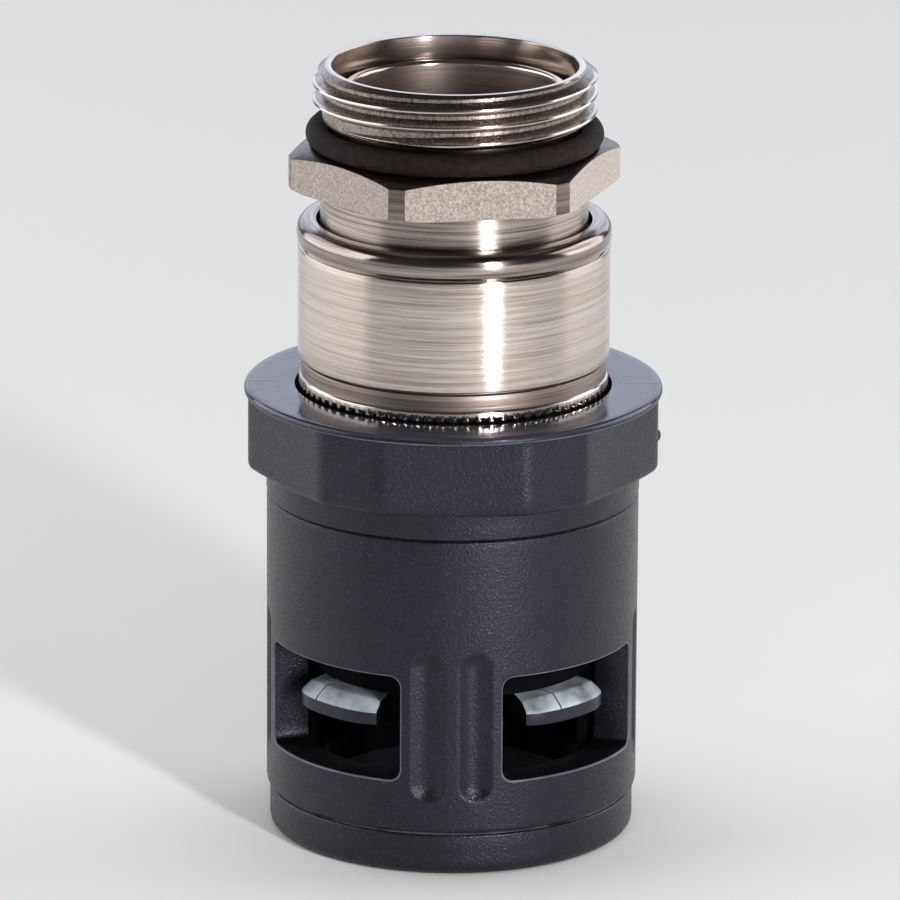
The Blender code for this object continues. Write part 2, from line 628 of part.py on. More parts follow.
def make_nipple(parts, cutters, material):
    """Turned nipple: thread, O-ring seat, hexagon, neck and the spigot that turns in the sleeve."""
    seat_r = thread_root_r - THREAD_RING_SINK
    ring_half = SWIVEL_RING_SECTION / 2 + GAP
    groove_r = chamber_r - 2 * GAP - SWIVEL_RING_SECTION
    corners = [
        (thread_root_r - RIM_BEVEL, rim_z, 0),
        (thread_root_r, rim_z - RIM_BEVEL_HEIGHT, 0),
        (thread_root_r, ring_seat_top_z, 0),
        (seat_r, ring_seat_top_z, 0),
        (seat_r, hex_top_z, 0),
        (neck_r, hex_top_z, 0),
        (neck_r, nipple_shoulder_z, 0),
        (nipple_spigot_r, nipple_shoulder_z, 0),
        (nipple_spigot_r, swivel_ring_z + ring_half, 0),
        (groove_r, swivel_ring_z + ring_half, 0),
        (groove_r, swivel_ring_z - ring_half, 0),
        (nipple_spigot_r, swivel_ring_z - ring_half, 0),
        (nipple_spigot_r, nipple_foot_z, 0),
        (nipple_bore_r, nipple_foot_z, 0),
        (nipple_bore_r, rim_z - MOUTH_DEPTH - MOUTH_STEP, 0),
        (mouth_r, rim_z - MOUTH_DEPTH, 0),
        (mouth_r, rim_z, 0),
    ]
    nipple = turned("threaded_nipple", rounded_outline(corners), parts, material)
    chamfer_r = (thread_r + hex_face_r) / 2
    chamfer_drop = (hex_corner_r - chamfer_r) * math.tan(math.radians(HEX_CHAMFER))
    hex_hole_r = (nipple_bore_r + seat_r) / 2
    disc = turned("hexagon", [
        (chamfer_r, hex_top_z),
        (hex_corner_r, hex_top_z - chamfer_drop),
        (hex_corner_r, hex_foot_z),
        (neck_r, hex_foot_z),
        (neck_r - SINK, hex_foot_z - NECK_FLARE),
        (hex_hole_r, hex_foot_z - NECK_FLARE),
        (hex_hole_r, hex_top_z),
    ], cutters)
    mark_cutter(disc)
    bm = prism(HEX_SIDES, hex_face_r / math.cos(math.pi / HEX_SIDES), hex_foot_z - CUT_PAST,
               hex_top_z + CUT_PAST, HEX_TURN)
    flats = mark_cutter(add_object("hexagon_flats", mesh_from(bm, "hexagon_flats"), cutters))
    combine(disc, flats, 'INTERSECT')
    combine(nipple, disc, 'UNION')
    combine(nipple, thread_ridge(cutters), 'UNION')
    return nipple


def shade(parts):
    """Smooth shading with sharp machined edges, on meshes that already have faces."""
    for shape in parts.objects:
        if shape.data.polygons:
            shape.data.shade_smooth()
            shape.data.set_sharp_from_angle(angle=math.radians(30))


def main():
    for shape in list(bpy.data.objects):
        bpy.data.objects.remove(shape, do_unlink=True)
    parts = new_collection("conduit_connector")
    cutters = new_collection("cutters")
    nylon = finish_material("black_nylon", (0.035, 0.037, 0.043), 0.5, 0.0)
    nickel = finish_material("nickel_plated_brass", (0.62, 0.57, 0.53), 0.25, 1.0)
    rubber = finish_material("black_rubber", (0.02, 0.017, 0.016), 0.7, 0.0)
    make_body_shell(parts, cutters, nylon)
    make_locking_ring(parts, cutters, nylon)
    make_conduit_seal(parts, rubber)
    make_sleeve(parts, cutters, nickel)
    make_liner(parts, nickel)
    make_nipple(parts, cutters, nickel)
    make_ring("thread_o_ring", THREAD_RING_SECTION, thread_ring_z,
              thread_root_r - THREAD_RING_SINK + GAP + THREAD_RING_SECTION / 2, parts, rubber,
              steps=TURNED_STEPS)
    make_ring("swivel_o_ring", SWIVEL_RING_SECTION, swivel_ring_z,
              chamber_r - GAP - SWIVEL_RING_SECTION / 2, parts, rubber)
    make_ring("shank_o_ring", SHANK_RING_SECTION, shank_ring_z,
              socket_r - GAP - SHANK_RING_SECTION / 2, parts, rubber)
    shade(parts)


main()
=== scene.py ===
# %% [markdown]
# # A liquidtight conduit connector
#
# This lesson dresses a CAD model of a conduit connector for a studio picture. The real thing is a
# moulded nylon shell that snaps onto corrugated conduit, with a nickel-plated brass sleeve and a
# nipple that swivels in it. The CAD model gives the places and sizes. Each of its plain pieces is
# replaced by a finer one of the same size, with rounded edges and a finish of its own.

# %% Load the CAD model
import math

import bmesh
import bpy
from mathutils import Matrix, Vector


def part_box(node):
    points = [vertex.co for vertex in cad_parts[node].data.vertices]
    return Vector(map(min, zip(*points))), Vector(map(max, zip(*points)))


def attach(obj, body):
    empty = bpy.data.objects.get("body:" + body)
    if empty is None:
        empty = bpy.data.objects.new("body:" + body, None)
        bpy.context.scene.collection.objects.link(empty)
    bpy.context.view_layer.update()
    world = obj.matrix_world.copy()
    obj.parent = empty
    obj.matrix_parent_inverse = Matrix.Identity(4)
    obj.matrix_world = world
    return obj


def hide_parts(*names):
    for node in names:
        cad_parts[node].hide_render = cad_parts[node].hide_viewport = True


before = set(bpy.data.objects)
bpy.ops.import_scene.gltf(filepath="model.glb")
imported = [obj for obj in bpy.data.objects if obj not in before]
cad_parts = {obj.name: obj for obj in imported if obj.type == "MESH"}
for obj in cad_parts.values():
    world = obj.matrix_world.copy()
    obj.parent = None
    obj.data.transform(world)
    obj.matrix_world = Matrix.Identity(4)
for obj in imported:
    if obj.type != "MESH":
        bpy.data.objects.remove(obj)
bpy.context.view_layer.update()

# %% [markdown]
# ## Sizes
#
# The pieces are drawn in millimetres, because the real part is made to round numbers of them, and
# are scaled to metres when they are finished. The main sizes are read from the CAD nodes' boxes,
# so that the dressed pieces stay where the solids are. The claws are inside the locking ring's
# box, so their two heights are written down.

# %% Read the main sizes
MM = 0.001


def extent(node):
    """Returns a CAD node's outer radius, lowest and highest point, in millimetres."""
    low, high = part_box(node)
    return max(high[0], high[1]) / MM, low[2] / MM, high[2] / MM


rim_r, barrel_foot_z, collar_top_z = extent("body_shell")
end_ring_r, _, hoop_top_z = extent("locking_ring")
bead_r, shank_foot_z, bead_top_z = extent("swivel_sleeve")
_, nipple_foot_z, rim_z = extent("threaded_nipple")
liner_flange_r, liner_foot_z, liner_top_z = extent("liner_tube")
seal_r, seal_foot_z, seal_top_z = extent("conduit_seal")
claw_foot_z = 12.85
claw_top_z = 15.15
print(f"shell: {rim_r:.2f} mm radius, {barrel_foot_z:.2f} to {collar_top_z:.2f} mm")
print(f"nipple rim at {rim_z:.2f} mm, liner lip at {liner_top_z:.2f} mm")

# %% [markdown]
# ## The camera
#
# The photograph looks at the connector from 16 degrees above the horizontal, through a long lens,
# so that the rings are flat ellipses of nearly the same size. A camera far away with a long focal
# length gives that. A slight roll and shift lay the drawn outline on the photograph's.

# %% Place the camera
CAMERA_AZIMUTH = math.radians(45.0)
CAMERA_ELEVATION = math.radians(16.15)
CAMERA_DISTANCE = 0.8196
CAMERA_ROLL = math.radians(0.34)
LENS = 372.0
SENSOR_WIDTH = 36.0
CLIP_END = 10.0
AIM_HEIGHT = 0.0345
AIM_RIGHT = -0.00026
AIM_UP = -0.00036


def stand(name, data):
    """Makes an object of some data, puts it into the scene and returns it."""
    made = bpy.data.objects.new(name, data)
    bpy.context.scene.collection.objects.link(made)
    return made


def direction(azimuth, elevation):
    """Returns the unit vector towards a camera or lamp at these angles in radians."""
    return Vector((math.sin(azimuth) * math.cos(elevation),
                   -math.cos(azimuth) * math.cos(elevation), math.sin(elevation)))


def look(position, target, roll=0.0):
    """Returns a matrix that stands at a position and looks at a target."""
    turned = (target - position).to_track_quat('-Z', 'Y').to_matrix().to_4x4()
    return Matrix.Translation(position) @ turned @ Matrix.Rotation(roll, 4, 'Z')


towards_camera = direction(CAMERA_AZIMUTH, CAMERA_ELEVATION)
camera_right = Vector((math.cos(CAMERA_AZIMUTH), math.sin(CAMERA_AZIMUTH), 0.0))
camera_up = towards_camera.cross(camera_right)
aim = Vector((0, 0, AIM_HEIGHT)) + camera_right * AIM_RIGHT + camera_up * AIM_UP
camera_data = bpy.data.cameras.new("camera")
camera_data.lens = LENS
camera_data.sensor_width = SENSOR_WIDTH
camera_data.clip_end = CLIP_END
camera = stand("camera", camera_data)
camera.matrix_world = look(aim + towards_camera * CAMERA_DISTANCE, aim, CAMERA_ROLL)
bpy.context.scene.camera = camera
print("camera at", [round(value, 3) for value in camera.location])

# %% [markdown]
# ## Colours and nodes
#
# Colours are written as sRGB hex values, as in a paint program, and one function turns them into
# the linear values that the shaders need. One more function adds a shader node together with its
# settings and links. What all finishes share is a colour that follows a pattern, and a relief.

# %% Define the colour and node helpers


def linear(hex_colour):
    """Turns an sRGB hex colour into linear RGBA."""
    channels = [int(hex_colour[i:i + 2], 16) / 255 for i in (1, 3, 5)]
    return tuple(c / 12.92 if c <= 0.04045 else ((c + 0.055) / 1.055) ** 2.4
                 for c in channels) + (1.0,)


def add(tree, kind, inputs=None, **settings):
    """Adds a node, sets its settings, and fills or links its inputs by name or number."""
    made = tree.nodes.new("ShaderNode" + kind)
    for name, value in settings.items():
        setattr(made, name, value)
    for key, value in (inputs or {}).items():
        if isinstance(value, bpy.types.NodeSocket):
            tree.links.new(value, made.inputs[key])
        else:
            made.inputs[key].default_value = value
    return made


def new_material(name, colour, roughness, metallic=0.0, **constants):
    """Returns a material, its node tree and its shader, with the constants set on the shader."""
    material = bpy.data.materials.new(name)
    material.use_nodes = True
    tree = material.node_tree
    shader = tree.nodes["Principled BSDF"]
    shader.inputs["Base Color"].default_value = linear(colour)
    shader.inputs["Roughness"].default_value = roughness
    shader.inputs["Metallic"].default_value = metallic
    for key, value in constants.items():
        shader.inputs[key.replace("_", " ")].default_value = value
    material.diffuse_color = linear(colour)
    return material, tree, shader


def object_millimetres(tree):
    """Returns a socket with the object's own coordinates in millimetres."""
    place = add(tree, "TexCoord")
    return add(tree, "VectorMath", {0: place.outputs["Object"], "Scale": 1 / MM},
               operation='SCALE').outputs["Vector"]


def two_tone(tree, pattern, low, high, first, second):
    """Returns a socket that turns from one colour to another as a pattern rises."""
    share = add(tree, "MapRange", {"Value": pattern, "From Min": low, "From Max": high})
    return add(tree, "Mix", {"Factor": share.outputs["Result"], "A": first, "B": second},
               data_type='RGBA').outputs["Result"]


def dress(tree, shader, tint, height, depth):
    """Gives the shader its colour, and a relief as deep as given in millimetres."""
    relief = add(tree, "Bump", {"Height": height, "Strength": 1.0, "Distance": depth * MM})
    tree.links.new(tint, shader.inputs["Base Color"])
    tree.links.new(relief.outputs["Normal"], shader.inputs["Normal"])


print("white is", linear("#ffffff"))

# %% [markdown]
# ## Moulded nylon
#
# The shell and the locking ring are moulded from black polyamide. Its mould is spark-eroded, which
# leaves a fine grain about a quarter of a millimetre across that breaks the highlights up into
# small sparkles. A noise of that size drives the roughness, the pale specks and, with a finer
# noise added, the bump. A wide, soft noise varies the colour. The black is really a dark blue
# grey, because a dulled surface scatters a little light.

# %% Define the moulded nylon
NYLON_IOR = 1.53
CLOUD_SCALE = 0.35
FINE_RATIO = 2.7
FINE_SHARE = 0.3


def nylon(name, colour, pale, rough_low, rough_high, grain, depth, gloss=0.5, speck=None):
    """Returns a moulded nylon whose grain is as wide and deep as given, in millimetres."""
    material, tree, shader = new_material(name, colour, rough_low, IOR=NYLON_IOR,
                                          Specular_IOR_Level=gloss,
                                          Specular_Tint=linear("#eae6ff"))
    place = object_millimetres(tree)
    cloud = add(tree, "TexNoise", {"Vector": place, "Scale": CLOUD_SCALE, "Detail": 3.0})
    grit = add(tree, "TexNoise", {"Vector": place, "Scale": 1 / grain, "Detail": 2.0,
                                  "Roughness": 0.55})
    fine = add(tree, "TexNoise", {"Vector": place, "Scale": FINE_RATIO / grain, "Detail": 1.0})
    tint = two_tone(tree, cloud.outputs["Fac"], 0.3, 0.7, linear(colour), linear(pale))
    if speck:
        tint = two_tone(tree, grit.outputs["Fac"], 0.56, 0.74, tint, linear(speck))
    rough = add(tree, "MapRange", {"Value": grit.outputs["Fac"], "From Min": 0.35,
                                   "From Max": 0.65, "To Min": rough_high, "To Max": rough_low})
    tree.links.new(rough.outputs["Result"], shader.inputs["Roughness"])
    faint = add(tree, "Math", {0: fine.outputs["Fac"], 1: FINE_SHARE}, operation='MULTIPLY')
    both = add(tree, "Math", {0: grit.outputs["Fac"], 1: faint.outputs[0]}, operation='ADD')
    dress(tree, shader, tint, both.outputs[0], depth)
    return material


print("nylon's index of refraction:", NYLON_IOR)

# %% Make the six nylons
# The outside is near black, with the mould's grain and bluish specks in it.
grained_nylon = nylon("spark_grained_nylon", "#0c0b0f", "#121116", 0.28, 0.46, 0.24, 0.054,
                      0.42, "#2b2b35")
# Walls that slide on each other come from a plain mould and have almost no grain.
smooth_nylon = nylon("smooth_moulded_nylon", "#17161e", "#1d1c26", 0.28, 0.42, 0.40, 0.010, 0.4)
# The collar's flat top is polished and mirrors the studio softly. Its colour is painted lighter
# than the black nylon elsewhere, as painted light on the top.
polished_nylon_painted_light = nylon("polished_nylon_painted_light", "#2e303a", "#34363f", 0.10, 0.20, 0.8, 0.010)
# The claws' slopes and end edges get a painted highlight: a lighter nylon with pale patches.
claw_painted_highlight_nylon = nylon("painted_highlight_claw_nylon", "#444a51", "#b4bdc6", 0.30, 0.50, 0.30, 0.030)
# Thin rims get a painted highlight, a pale line where they catch the light.
rim_painted_highlight_nylon = nylon("painted_highlight_rim_nylon", "#43454e", "#60636e", 0.25, 0.40, 0.30, 0.020)
# Deep inside the barrel hardly any light comes back, so those faces are painted near black as
# painted shade.
painted_shade_nylon = nylon("shaded_nylon", "#050507", "#0a0a0c", 0.7, 0.8, 0.45, 0.010, 0.05)
shell_nylons = [grained_nylon, smooth_nylon, polished_nylon_painted_light, painted_shade_nylon, rim_painted_highlight_nylon]
ring_nylons = [smooth_nylon, claw_painted_highlight_nylon, painted_shade_nylon, grained_nylon]
print("nylons:", [material.name for material in shell_nylons + [claw_painted_highlight_nylon]])

# %% [markdown]
# ## Nickel-plated brass
#
# The sleeve and the nipple are turned from brass and plated with nickel, a warm, slightly pink
# silver. The lathe tool leaves fine rings a few tenths of a millimetre apart, which draw a lamp
# out into an upright streak. They are a noise that follows the height plus the distance from the
# axis, and drifts a little round it. Anisotropy does what is too fine to draw. Its tangent runs
# round the axis, and a quarter turn of it lays the streak along the axis.

# %% Define the nickel plating
RING_DRIFT = 0.015
QUARTER_TURN = 0.25
ROUGHER = 1.25
SMOOTHER = 0.8


def nickel(name, colour, line, roughness, anisotropy, ring_width, depth, turned=True):
    """Returns nickel-plated brass, with tool rings if turned, the lines in a second colour."""
    material, tree, shader = new_material(name, colour, roughness, 1.0, Anisotropic=anisotropy,
                                          Anisotropic_Rotation=QUARTER_TURN)
    place = object_millimetres(tree)
    flat = add(tree, "VectorMath", {0: place, 1: (1, 1, 0)}, operation='MULTIPLY')
    radius = add(tree, "VectorMath", {0: flat.outputs[0]}, operation='LENGTH')
    drift = add(tree, "VectorMath", {0: place, 1: (RING_DRIFT, RING_DRIFT, 1)},
                operation='MULTIPLY')
    outwards = add(tree, "CombineXYZ", {"Z": radius.outputs["Value"]})
    along = add(tree, "VectorMath", {0: drift.outputs[0], 1: outwards.outputs[0]},
                operation='ADD')
    rings = add(tree, "TexNoise", {"Vector": along.outputs[0] if turned else place,
                                   "Scale": 1 / ring_width, "Detail": 4.0, "Roughness": 0.7})
    tint = two_tone(tree, rings.outputs["Fac"], 0.35, 0.6, linear(line), linear(colour))
    rough = add(tree, "MapRange", {"Value": rings.outputs["Fac"], "From Min": 0.3,
                                   "From Max": 0.7, "To Min": roughness * ROUGHER,
                                   "To Max": roughness * SMOOTHER})
    tree.links.new(rough.outputs["Result"], shader.inputs["Roughness"])
    dress(tree, shader, tint, rings.outputs["Fac"], depth)
    if anisotropy:
        tangent = add(tree, "Tangent", direction_type='RADIAL', axis='Z')
        tree.links.new(tangent.outputs[0], shader.inputs["Tangent"])
    return material


print("tool rings drift by", RING_DRIFT, "mm a millimetre")

# %% Make the nine metal finishes
# The sleeve's straight length keeps its tool rings.
turned_nickel = nickel("turned_nickel_brass", "#d3c9c3", "#b0a299", 0.16, 1.0, 0.26, 0.024)
# The bead is rolled, which presses the rings flat.
bead_nickel = nickel("rolled_bead_brass", "#aba19b", "#6d625d", 0.14, 0.0, 0.25, 0.014)
# The neck is duller than the sleeve, so its streak is softer.
neck_nickel = nickel("turned_neck_brass", "#b8ada7", "#7c706a", 0.24, 0.9, 0.25, 0.020)
# Crests, lips and other narrow places are left bright.
bright_nickel = nickel("bright_nickel_brass", "#cfc5bf", "#a99d96", 0.17, 0.0, 0.40, 0.012)
# The hexagon's faces are milled: a pale, matt skin without rings.
milled_nickel = nickel("milled_nickel_brass", "#d2c9c4", "#c0b7b1", 0.90, 0.0, 0.22, 0.012, False)
# Recesses, the hexagon's turned corners and the liner's tube are duller, and their colour is
# painted darker and browner as painted shade.
dull_painted_shade_nickel = nickel("dull_painted_shade_nickel_brass", "#9c8e88", "#6e625c", 0.42, 0.0, 0.35, 0.012)
# The thread's flanks and valleys are mottled, and painted darker than the crests as painted
# shade.
flank_painted_shade_nickel = nickel("thread_flank_painted_shade_brass", "#a0958f", "#675d58", 0.26, 0.0, 0.30, 0.015, False)
# The hexagon's upper side, under the O-ring, and its corners' slopes are painted dark as painted
# shade.
dark_painted_shade_nickel = nickel("dark_painted_shade_nickel_brass", "#5f5551", "#463d3a", 0.30, 0.0, 0.30, 0.015, False)
# The sleeve below the knurl's lip is painted near black as painted shade, as between the teeth
# hardly any light comes back.
painted_shade_knurl_nickel = nickel("painted_shade_knurl_nickel_brass", "#1c1715", "#120e0d", 0.55, 0.0, 0.30, 0.012)
sleeve_metals = [turned_nickel, bright_nickel, dull_painted_shade_nickel, painted_shade_knurl_nickel, bead_nickel]
nipple_metals = [bright_nickel, milled_nickel, dark_painted_shade_nickel, neck_nickel, flank_painted_shade_nickel, dull_painted_shade_nickel]
print("sleeve:", [material.name for material in sleeve_metals])
print("nipple:", [material.name for material in nipple_metals])

# %% [markdown]
# ## Rubber
#
# The O-rings and the gasket are nitrile rubber, moulded and dusted with talc, so they are a warm
# near-black with no clear reflection.

# %% Make the rubber
rubber, rubber_tree, rubber_shader = new_material("nitrile_rubber", "#1a1311", 0.75,
                                                  Specular_IOR_Level=0.15)
dust = add(rubber_tree, "TexNoise", {"Vector": object_millimetres(rubber_tree), "Scale": 1.6,
                                     "Detail": 4.0})
dusty = two_tone(rubber_tree, dust.outputs["Fac"], 0.4, 0.7, linear("#17100e"), linear("#271d1a"))
dress(rubber_tree, rubber_shader, dusty, dust.outputs["Fac"], 0.02)
print("rubber:", rubber.name)

# %% [markdown]
# ## Turned shapes
#
# Almost every piece is round, so it starts as an outline of corners at a radius and a height. The
# outline's corners are rounded with a vertex bevel and the outline is spun about the axis, as a
# lathe does. A corner is written as radius, height and rounding.

# %% Define how a piece is turned
STEPS = 240
SMALL_STEPS = 160
ROUND_STEPS = 4


def round_off(bm, chosen, width, segments, affect='EDGES'):
    """Rounds some edges or points with a bevel of so many steps."""
    bmesh.ops.bevel(bm, geom=chosen, offset=width, affect=affect, segments=segments, profile=0.5,
                    material=-1, clamp_overlap=affect == 'EDGES')


def outline(corners):
    """Returns a bmesh with a closed outline in the XZ plane, its corners rounded."""
    bm = bmesh.new()
    points = [bm.verts.new((corner[0], 0.0, corner[1])) for corner in corners]
    for before, after in zip(points, points[1:] + points[:1]):
        bm.edges.new((before, after))
    roundings = {corner[2] for corner in corners if len(corner) > 2}
    for rounding in sorted(roundings):
        chosen = [point for point, corner in zip(points, corners)
                  if len(corner) > 2 and corner[2] == rounding]
        round_off(bm, chosen, rounding, ROUND_STEPS, 'VERTICES')
    return bm


def everything(bm):
    """Returns all points, edges and faces of a bmesh."""
    return bm.verts[:] + bm.edges[:] + bm.faces[:]


def spin_round(bm, steps, turns=1.0, climb=0.0):
    """Spins a bmesh's section about the axis. Without a climb in each step, the seam merges."""
    bmesh.ops.spin(bm, geom=bm.verts[:] + bm.edges[:], axis=(0, 0, 1), cent=(0, 0, 0),
                   dvec=(0, 0, climb), angle=2 * math.pi * turns, steps=steps,
                   use_merge=not climb)


def turn(corners, steps=STEPS):
    """Spins an outline about the axis into a closed solid."""
    bm = outline(corners)
    spin_round(bm, steps)
    bmesh.ops.recalc_face_normals(bm, faces=bm.faces)
    return bm


print(STEPS, "steps in a full turn")

# %% [markdown]
# Some pieces are joined or cut, and some get softer edges. Finishing welds what lies closer than a
# micrometre, chooses a material for each face by its place, and hands the piece to its body.

# %% Define how a piece is cut, softened and finished
WELD_CUT = 0.002
WELD_PIECE = 0.001
SLIVER = 0.0005
EDGE_STEPS = 2
NEAR = 0.01


def from_axis(point):
    """Returns a point's distance from the axis."""
    return math.hypot(point.x, point.y)


def at(radius, angle, height):
    """Returns the point at a distance from the axis, an angle in radians and a height."""
    return Vector((radius * math.cos(angle), radius * math.sin(angle), height))


def rotate(bm, points, angle):
    """Turns some points of a bmesh about the axis, by an angle in radians."""
    bmesh.ops.rotate(bm, cent=(0, 0, 0), verts=points, matrix=Matrix.Rotation(angle, 3, 'Z'))


def to_mesh(bm, name):
    """Turns a bmesh into a mesh."""
    mesh = bpy.data.meshes.new(name)
    bm.to_mesh(mesh)
    bm.free()
    return mesh


def combine(blank, tool, operation):
    """Joins, cuts or crosses two closed solids, and returns the result."""
    shapes = [stand("blank", to_mesh(source, "blank")) for source in (blank, tool)]
    boolean = shapes[0].modifiers.new("combine", 'BOOLEAN')
    boolean.operation = operation
    boolean.solver = 'EXACT'
    boolean.object = shapes[1]
    result = bmesh.new()
    result.from_object(shapes[0], bpy.context.evaluated_depsgraph_get())
    for shape in shapes:
        bpy.data.meshes.remove(shape.data)
    bmesh.ops.remove_doubles(result, verts=result.verts, dist=WELD_CUT)
    return result


def soften(bm, width, sharper_than, chosen):
    """Bevels the edges that are sharper than an angle and pass a test, and counts them."""
    sharp = [edge for edge in bm.edges if len(edge.link_faces) == 2
             and edge.calc_face_angle() > math.radians(sharper_than) and chosen(edge)]
    round_off(bm, sharp, width, EDGE_STEPS)
    return len(sharp)


def finish(bm, name, body, node, materials, choose=None, sharp_angle=38.0):
    """Makes an object in metres, gives each face its finish and stands it for a CAD node."""
    bmesh.ops.remove_doubles(bm, verts=bm.verts, dist=WELD_PIECE)
    bmesh.ops.dissolve_degenerate(bm, edges=bm.edges, dist=SLIVER)
    bmesh.ops.recalc_face_normals(bm, faces=bm.faces)
    for face in bm.faces:
        face.material_index = materials.index(choose(face)) if choose else 0
    open_edges = sum(1 for edge in bm.edges if len(edge.link_faces) != 2)
    bmesh.ops.scale(bm, vec=(MM, MM, MM), verts=bm.verts)
    triangles = sum(len(face.verts) - 2 for face in bm.faces)
    mesh = to_mesh(bm, name)
    for material in materials:
        mesh.materials.append(material)
    mesh.shade_smooth()
    mesh.set_sharp_from_angle(angle=math.radians(sharp_angle))
    piece = stand(name, mesh)
    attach(piece, body)
    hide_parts(node)
    print(f"{name}: {triangles} triangles, {open_edges} open edges")


print("points closer than", WELD_PIECE, "mm are welded")

# %% [markdown]
# ## The moulded shell
#
# The shell is one moulding: a barrel with four windows and a pair of shallow flutes between each
# two, a band, and a collar with six wide and six narrow faces under a round rim. Booleans would
# leave splinters along the window edges. So the whole wall is spun as a grid instead, and the
# grid's columns are moved so that they run along the window sides and lie close together in the
# flutes. Rows lie close together where a flute ends or a window's corner is round.

# %% Set out the shell's columns and rows
WINDOW_HALF = 29.0
WEB_HALF = 45.0 - WINDOW_HALF
WINDOW_COLUMNS = 22
WEB_COLUMNS = 48
QUARTER_COLUMNS = 2 * WINDOW_COLUMNS + WEB_COLUMNS
SHELL_COLUMNS = 4 * QUARTER_COLUMNS
barrel_r = 16.35
bore_r = 13.05
sill_z = 8.55
lintel_z = 18.0
FLUTE_FOOT_Z = 6.8
FLUTE_TOP_Z = 20.3
FLUTES_CLEAR_Z = 21.2
LINE_FOOT_Z = 29.6
CORNER_ROWS_HEIGHT = 1.0


def column_angle(index):
    """Returns a column's direction in degrees, from the first window's middle."""
    quarter, place = divmod(index, QUARTER_COLUMNS)
    if place < WINDOW_COLUMNS:
        angle = WINDOW_HALF * place / WINDOW_COLUMNS
    elif place < WINDOW_COLUMNS + WEB_COLUMNS:
        angle = WINDOW_HALF + 2 * WEB_HALF * (place - WINDOW_COLUMNS) / WEB_COLUMNS
    else:
        angle = 90.0 - WINDOW_HALF * (QUARTER_COLUMNS - place) / WINDOW_COLUMNS
    return 90.0 * quarter + angle


def steps_between(high, low, count):
    """Returns evenly spaced heights from high down to low, without the last."""
    return [high + (low - high) * index / count for index in range(count)]


upper_corner_z = lintel_z - CORNER_ROWS_HEIGHT
lower_corner_z = sill_z + CORNER_ROWS_HEIGHT
window_rows = (steps_between(lintel_z, upper_corner_z, 3)
               + steps_between(upper_corner_z, lower_corner_z, 8)
               + steps_between(lower_corner_z, sill_z, 3) + [sill_z])
flute_top_rows = (steps_between(FLUTE_TOP_Z + 0.1, lintel_z + 0.85, 10)
                  + [lintel_z + 0.85, lintel_z + 0.4])
flute_foot_rows = ([sill_z - 0.2, sill_z - 0.4]
                   + steps_between(sill_z - 0.6, FLUTE_FOOT_Z - 0.1, 9))
barrel_rows = (steps_between(LINE_FOOT_Z, FLUTES_CLEAR_Z, 8) + [FLUTES_CLEAR_Z]
               + flute_top_rows + window_rows + flute_foot_rows
               + [FLUTE_FOOT_Z - 0.1, 5.9, 5.0, 4.5])
print(SHELL_COLUMNS, "columns,", len(barrel_rows), "rows on the barrel")

# %% [markdown]
# The outline goes down the outside and up the inside. Inside are the bore for the locking ring,
# the seat of the conduit's gasket, the shoulder that the conduit stops against, and the socket
# for the metal sleeve.

# %% Spin the shell's wall
collar_foot_z = 33.0
line_z = 30.55
band_r = barrel_r + 0.04
outer_wall_r = barrel_r - 0.8
corner_r = rim_r - 0.15
rim_foot_z = collar_top_z - 0.62
socket_r = 13.9
socket_floor_z = 31.8
stop_r = 9.1
stop_z = 27.4
seat_r = 13.6
seat_foot_z = seal_foot_z - 0.3

shell_corners = [(socket_r, collar_top_z, 0.15), (15.0, collar_top_z), (16.2, collar_top_z),
                 (17.4, collar_top_z), (rim_r, collar_top_z, 0.42), (rim_r, rim_foot_z, 0.1),
                 (corner_r, rim_foot_z - 0.05, 0.1)]
shell_corners += [(corner_r, z) for z in steps_between(rim_foot_z - 0.4, collar_foot_z + 0.9, 6)]
shell_corners += [(corner_r, collar_foot_z, 0.75), (band_r, collar_foot_z, 0.18),
                  (band_r, 31.8), (band_r, line_z + 0.16, 0.05), (band_r - 0.26, line_z),
                  (barrel_r, line_z - 0.16, 0.05)]
shell_corners += [(barrel_r, z) for z in barrel_rows]
shell_corners += [(barrel_r, barrel_foot_z, 0.25), (bore_r, barrel_foot_z, 0.25), (bore_r, 6.0),
                  (bore_r, 7.6)]
shell_corners += [(bore_r, z) for z in reversed(window_rows)]
shell_corners += [(bore_r, seat_foot_z - 0.3), (bore_r, seat_foot_z), (seat_r, seat_foot_z),
                  (seat_r, stop_z), (stop_r, stop_z, 0.3), (stop_r, socket_floor_z, 0.3),
                  (socket_r, socket_floor_z), (socket_r, 36.0)]
shell = turn(shell_corners, SHELL_COLUMNS)
print(len(shell.verts), "points in the spun wall")

# %% [markdown]
# Each point's column number follows from its angle after the even spin, and gives its final
# direction. The collar's faces are a soft minimum of twelve planes: where two meet, the power
# keeps a small rounding, as the mould does. A flute is a trough with round ends whose depth fades
# at its edge. On the two sides the mould's halves met, which leaves a fine raised line.

# %% Shape the collar, the flutes and the parting line
FRONT_WEB = -45.0
FACE_HALF = 20.8
FACE_SHARPNESS = 170
FLUTE_HALF_WIDTH = 1.45
FLUTE_DEPTH = 0.6
FLUTE_SPREAD = 15.0
FLUTE_BLEND = 0.10
PARTING_HEIGHT = 0.05
PARTING_ON_TOP = 0.6
PARTING_DIRECTION = 45.0

wide_r = corner_r * math.cos(math.radians(FACE_HALF))
narrow_r = corner_r * math.cos(math.radians(30.0 - FACE_HALF))
collar_faces = [(math.radians(FRONT_WEB + 60.0 * k), wide_r) for k in range(6)]
collar_faces += [(math.radians(FRONT_WEB + 30.0 + 60.0 * k), narrow_r) for k in range(6)]


def collar_radius(angle):
    """Returns how far the collar's rounded twelve-sided outline is from the axis."""
    pull = sum(max(0.0, math.cos(angle - face)) ** FACE_SHARPNESS / distance ** FACE_SHARPNESS
               for face, distance in collar_faces)
    return pull ** (-1.0 / FACE_SHARPNESS)


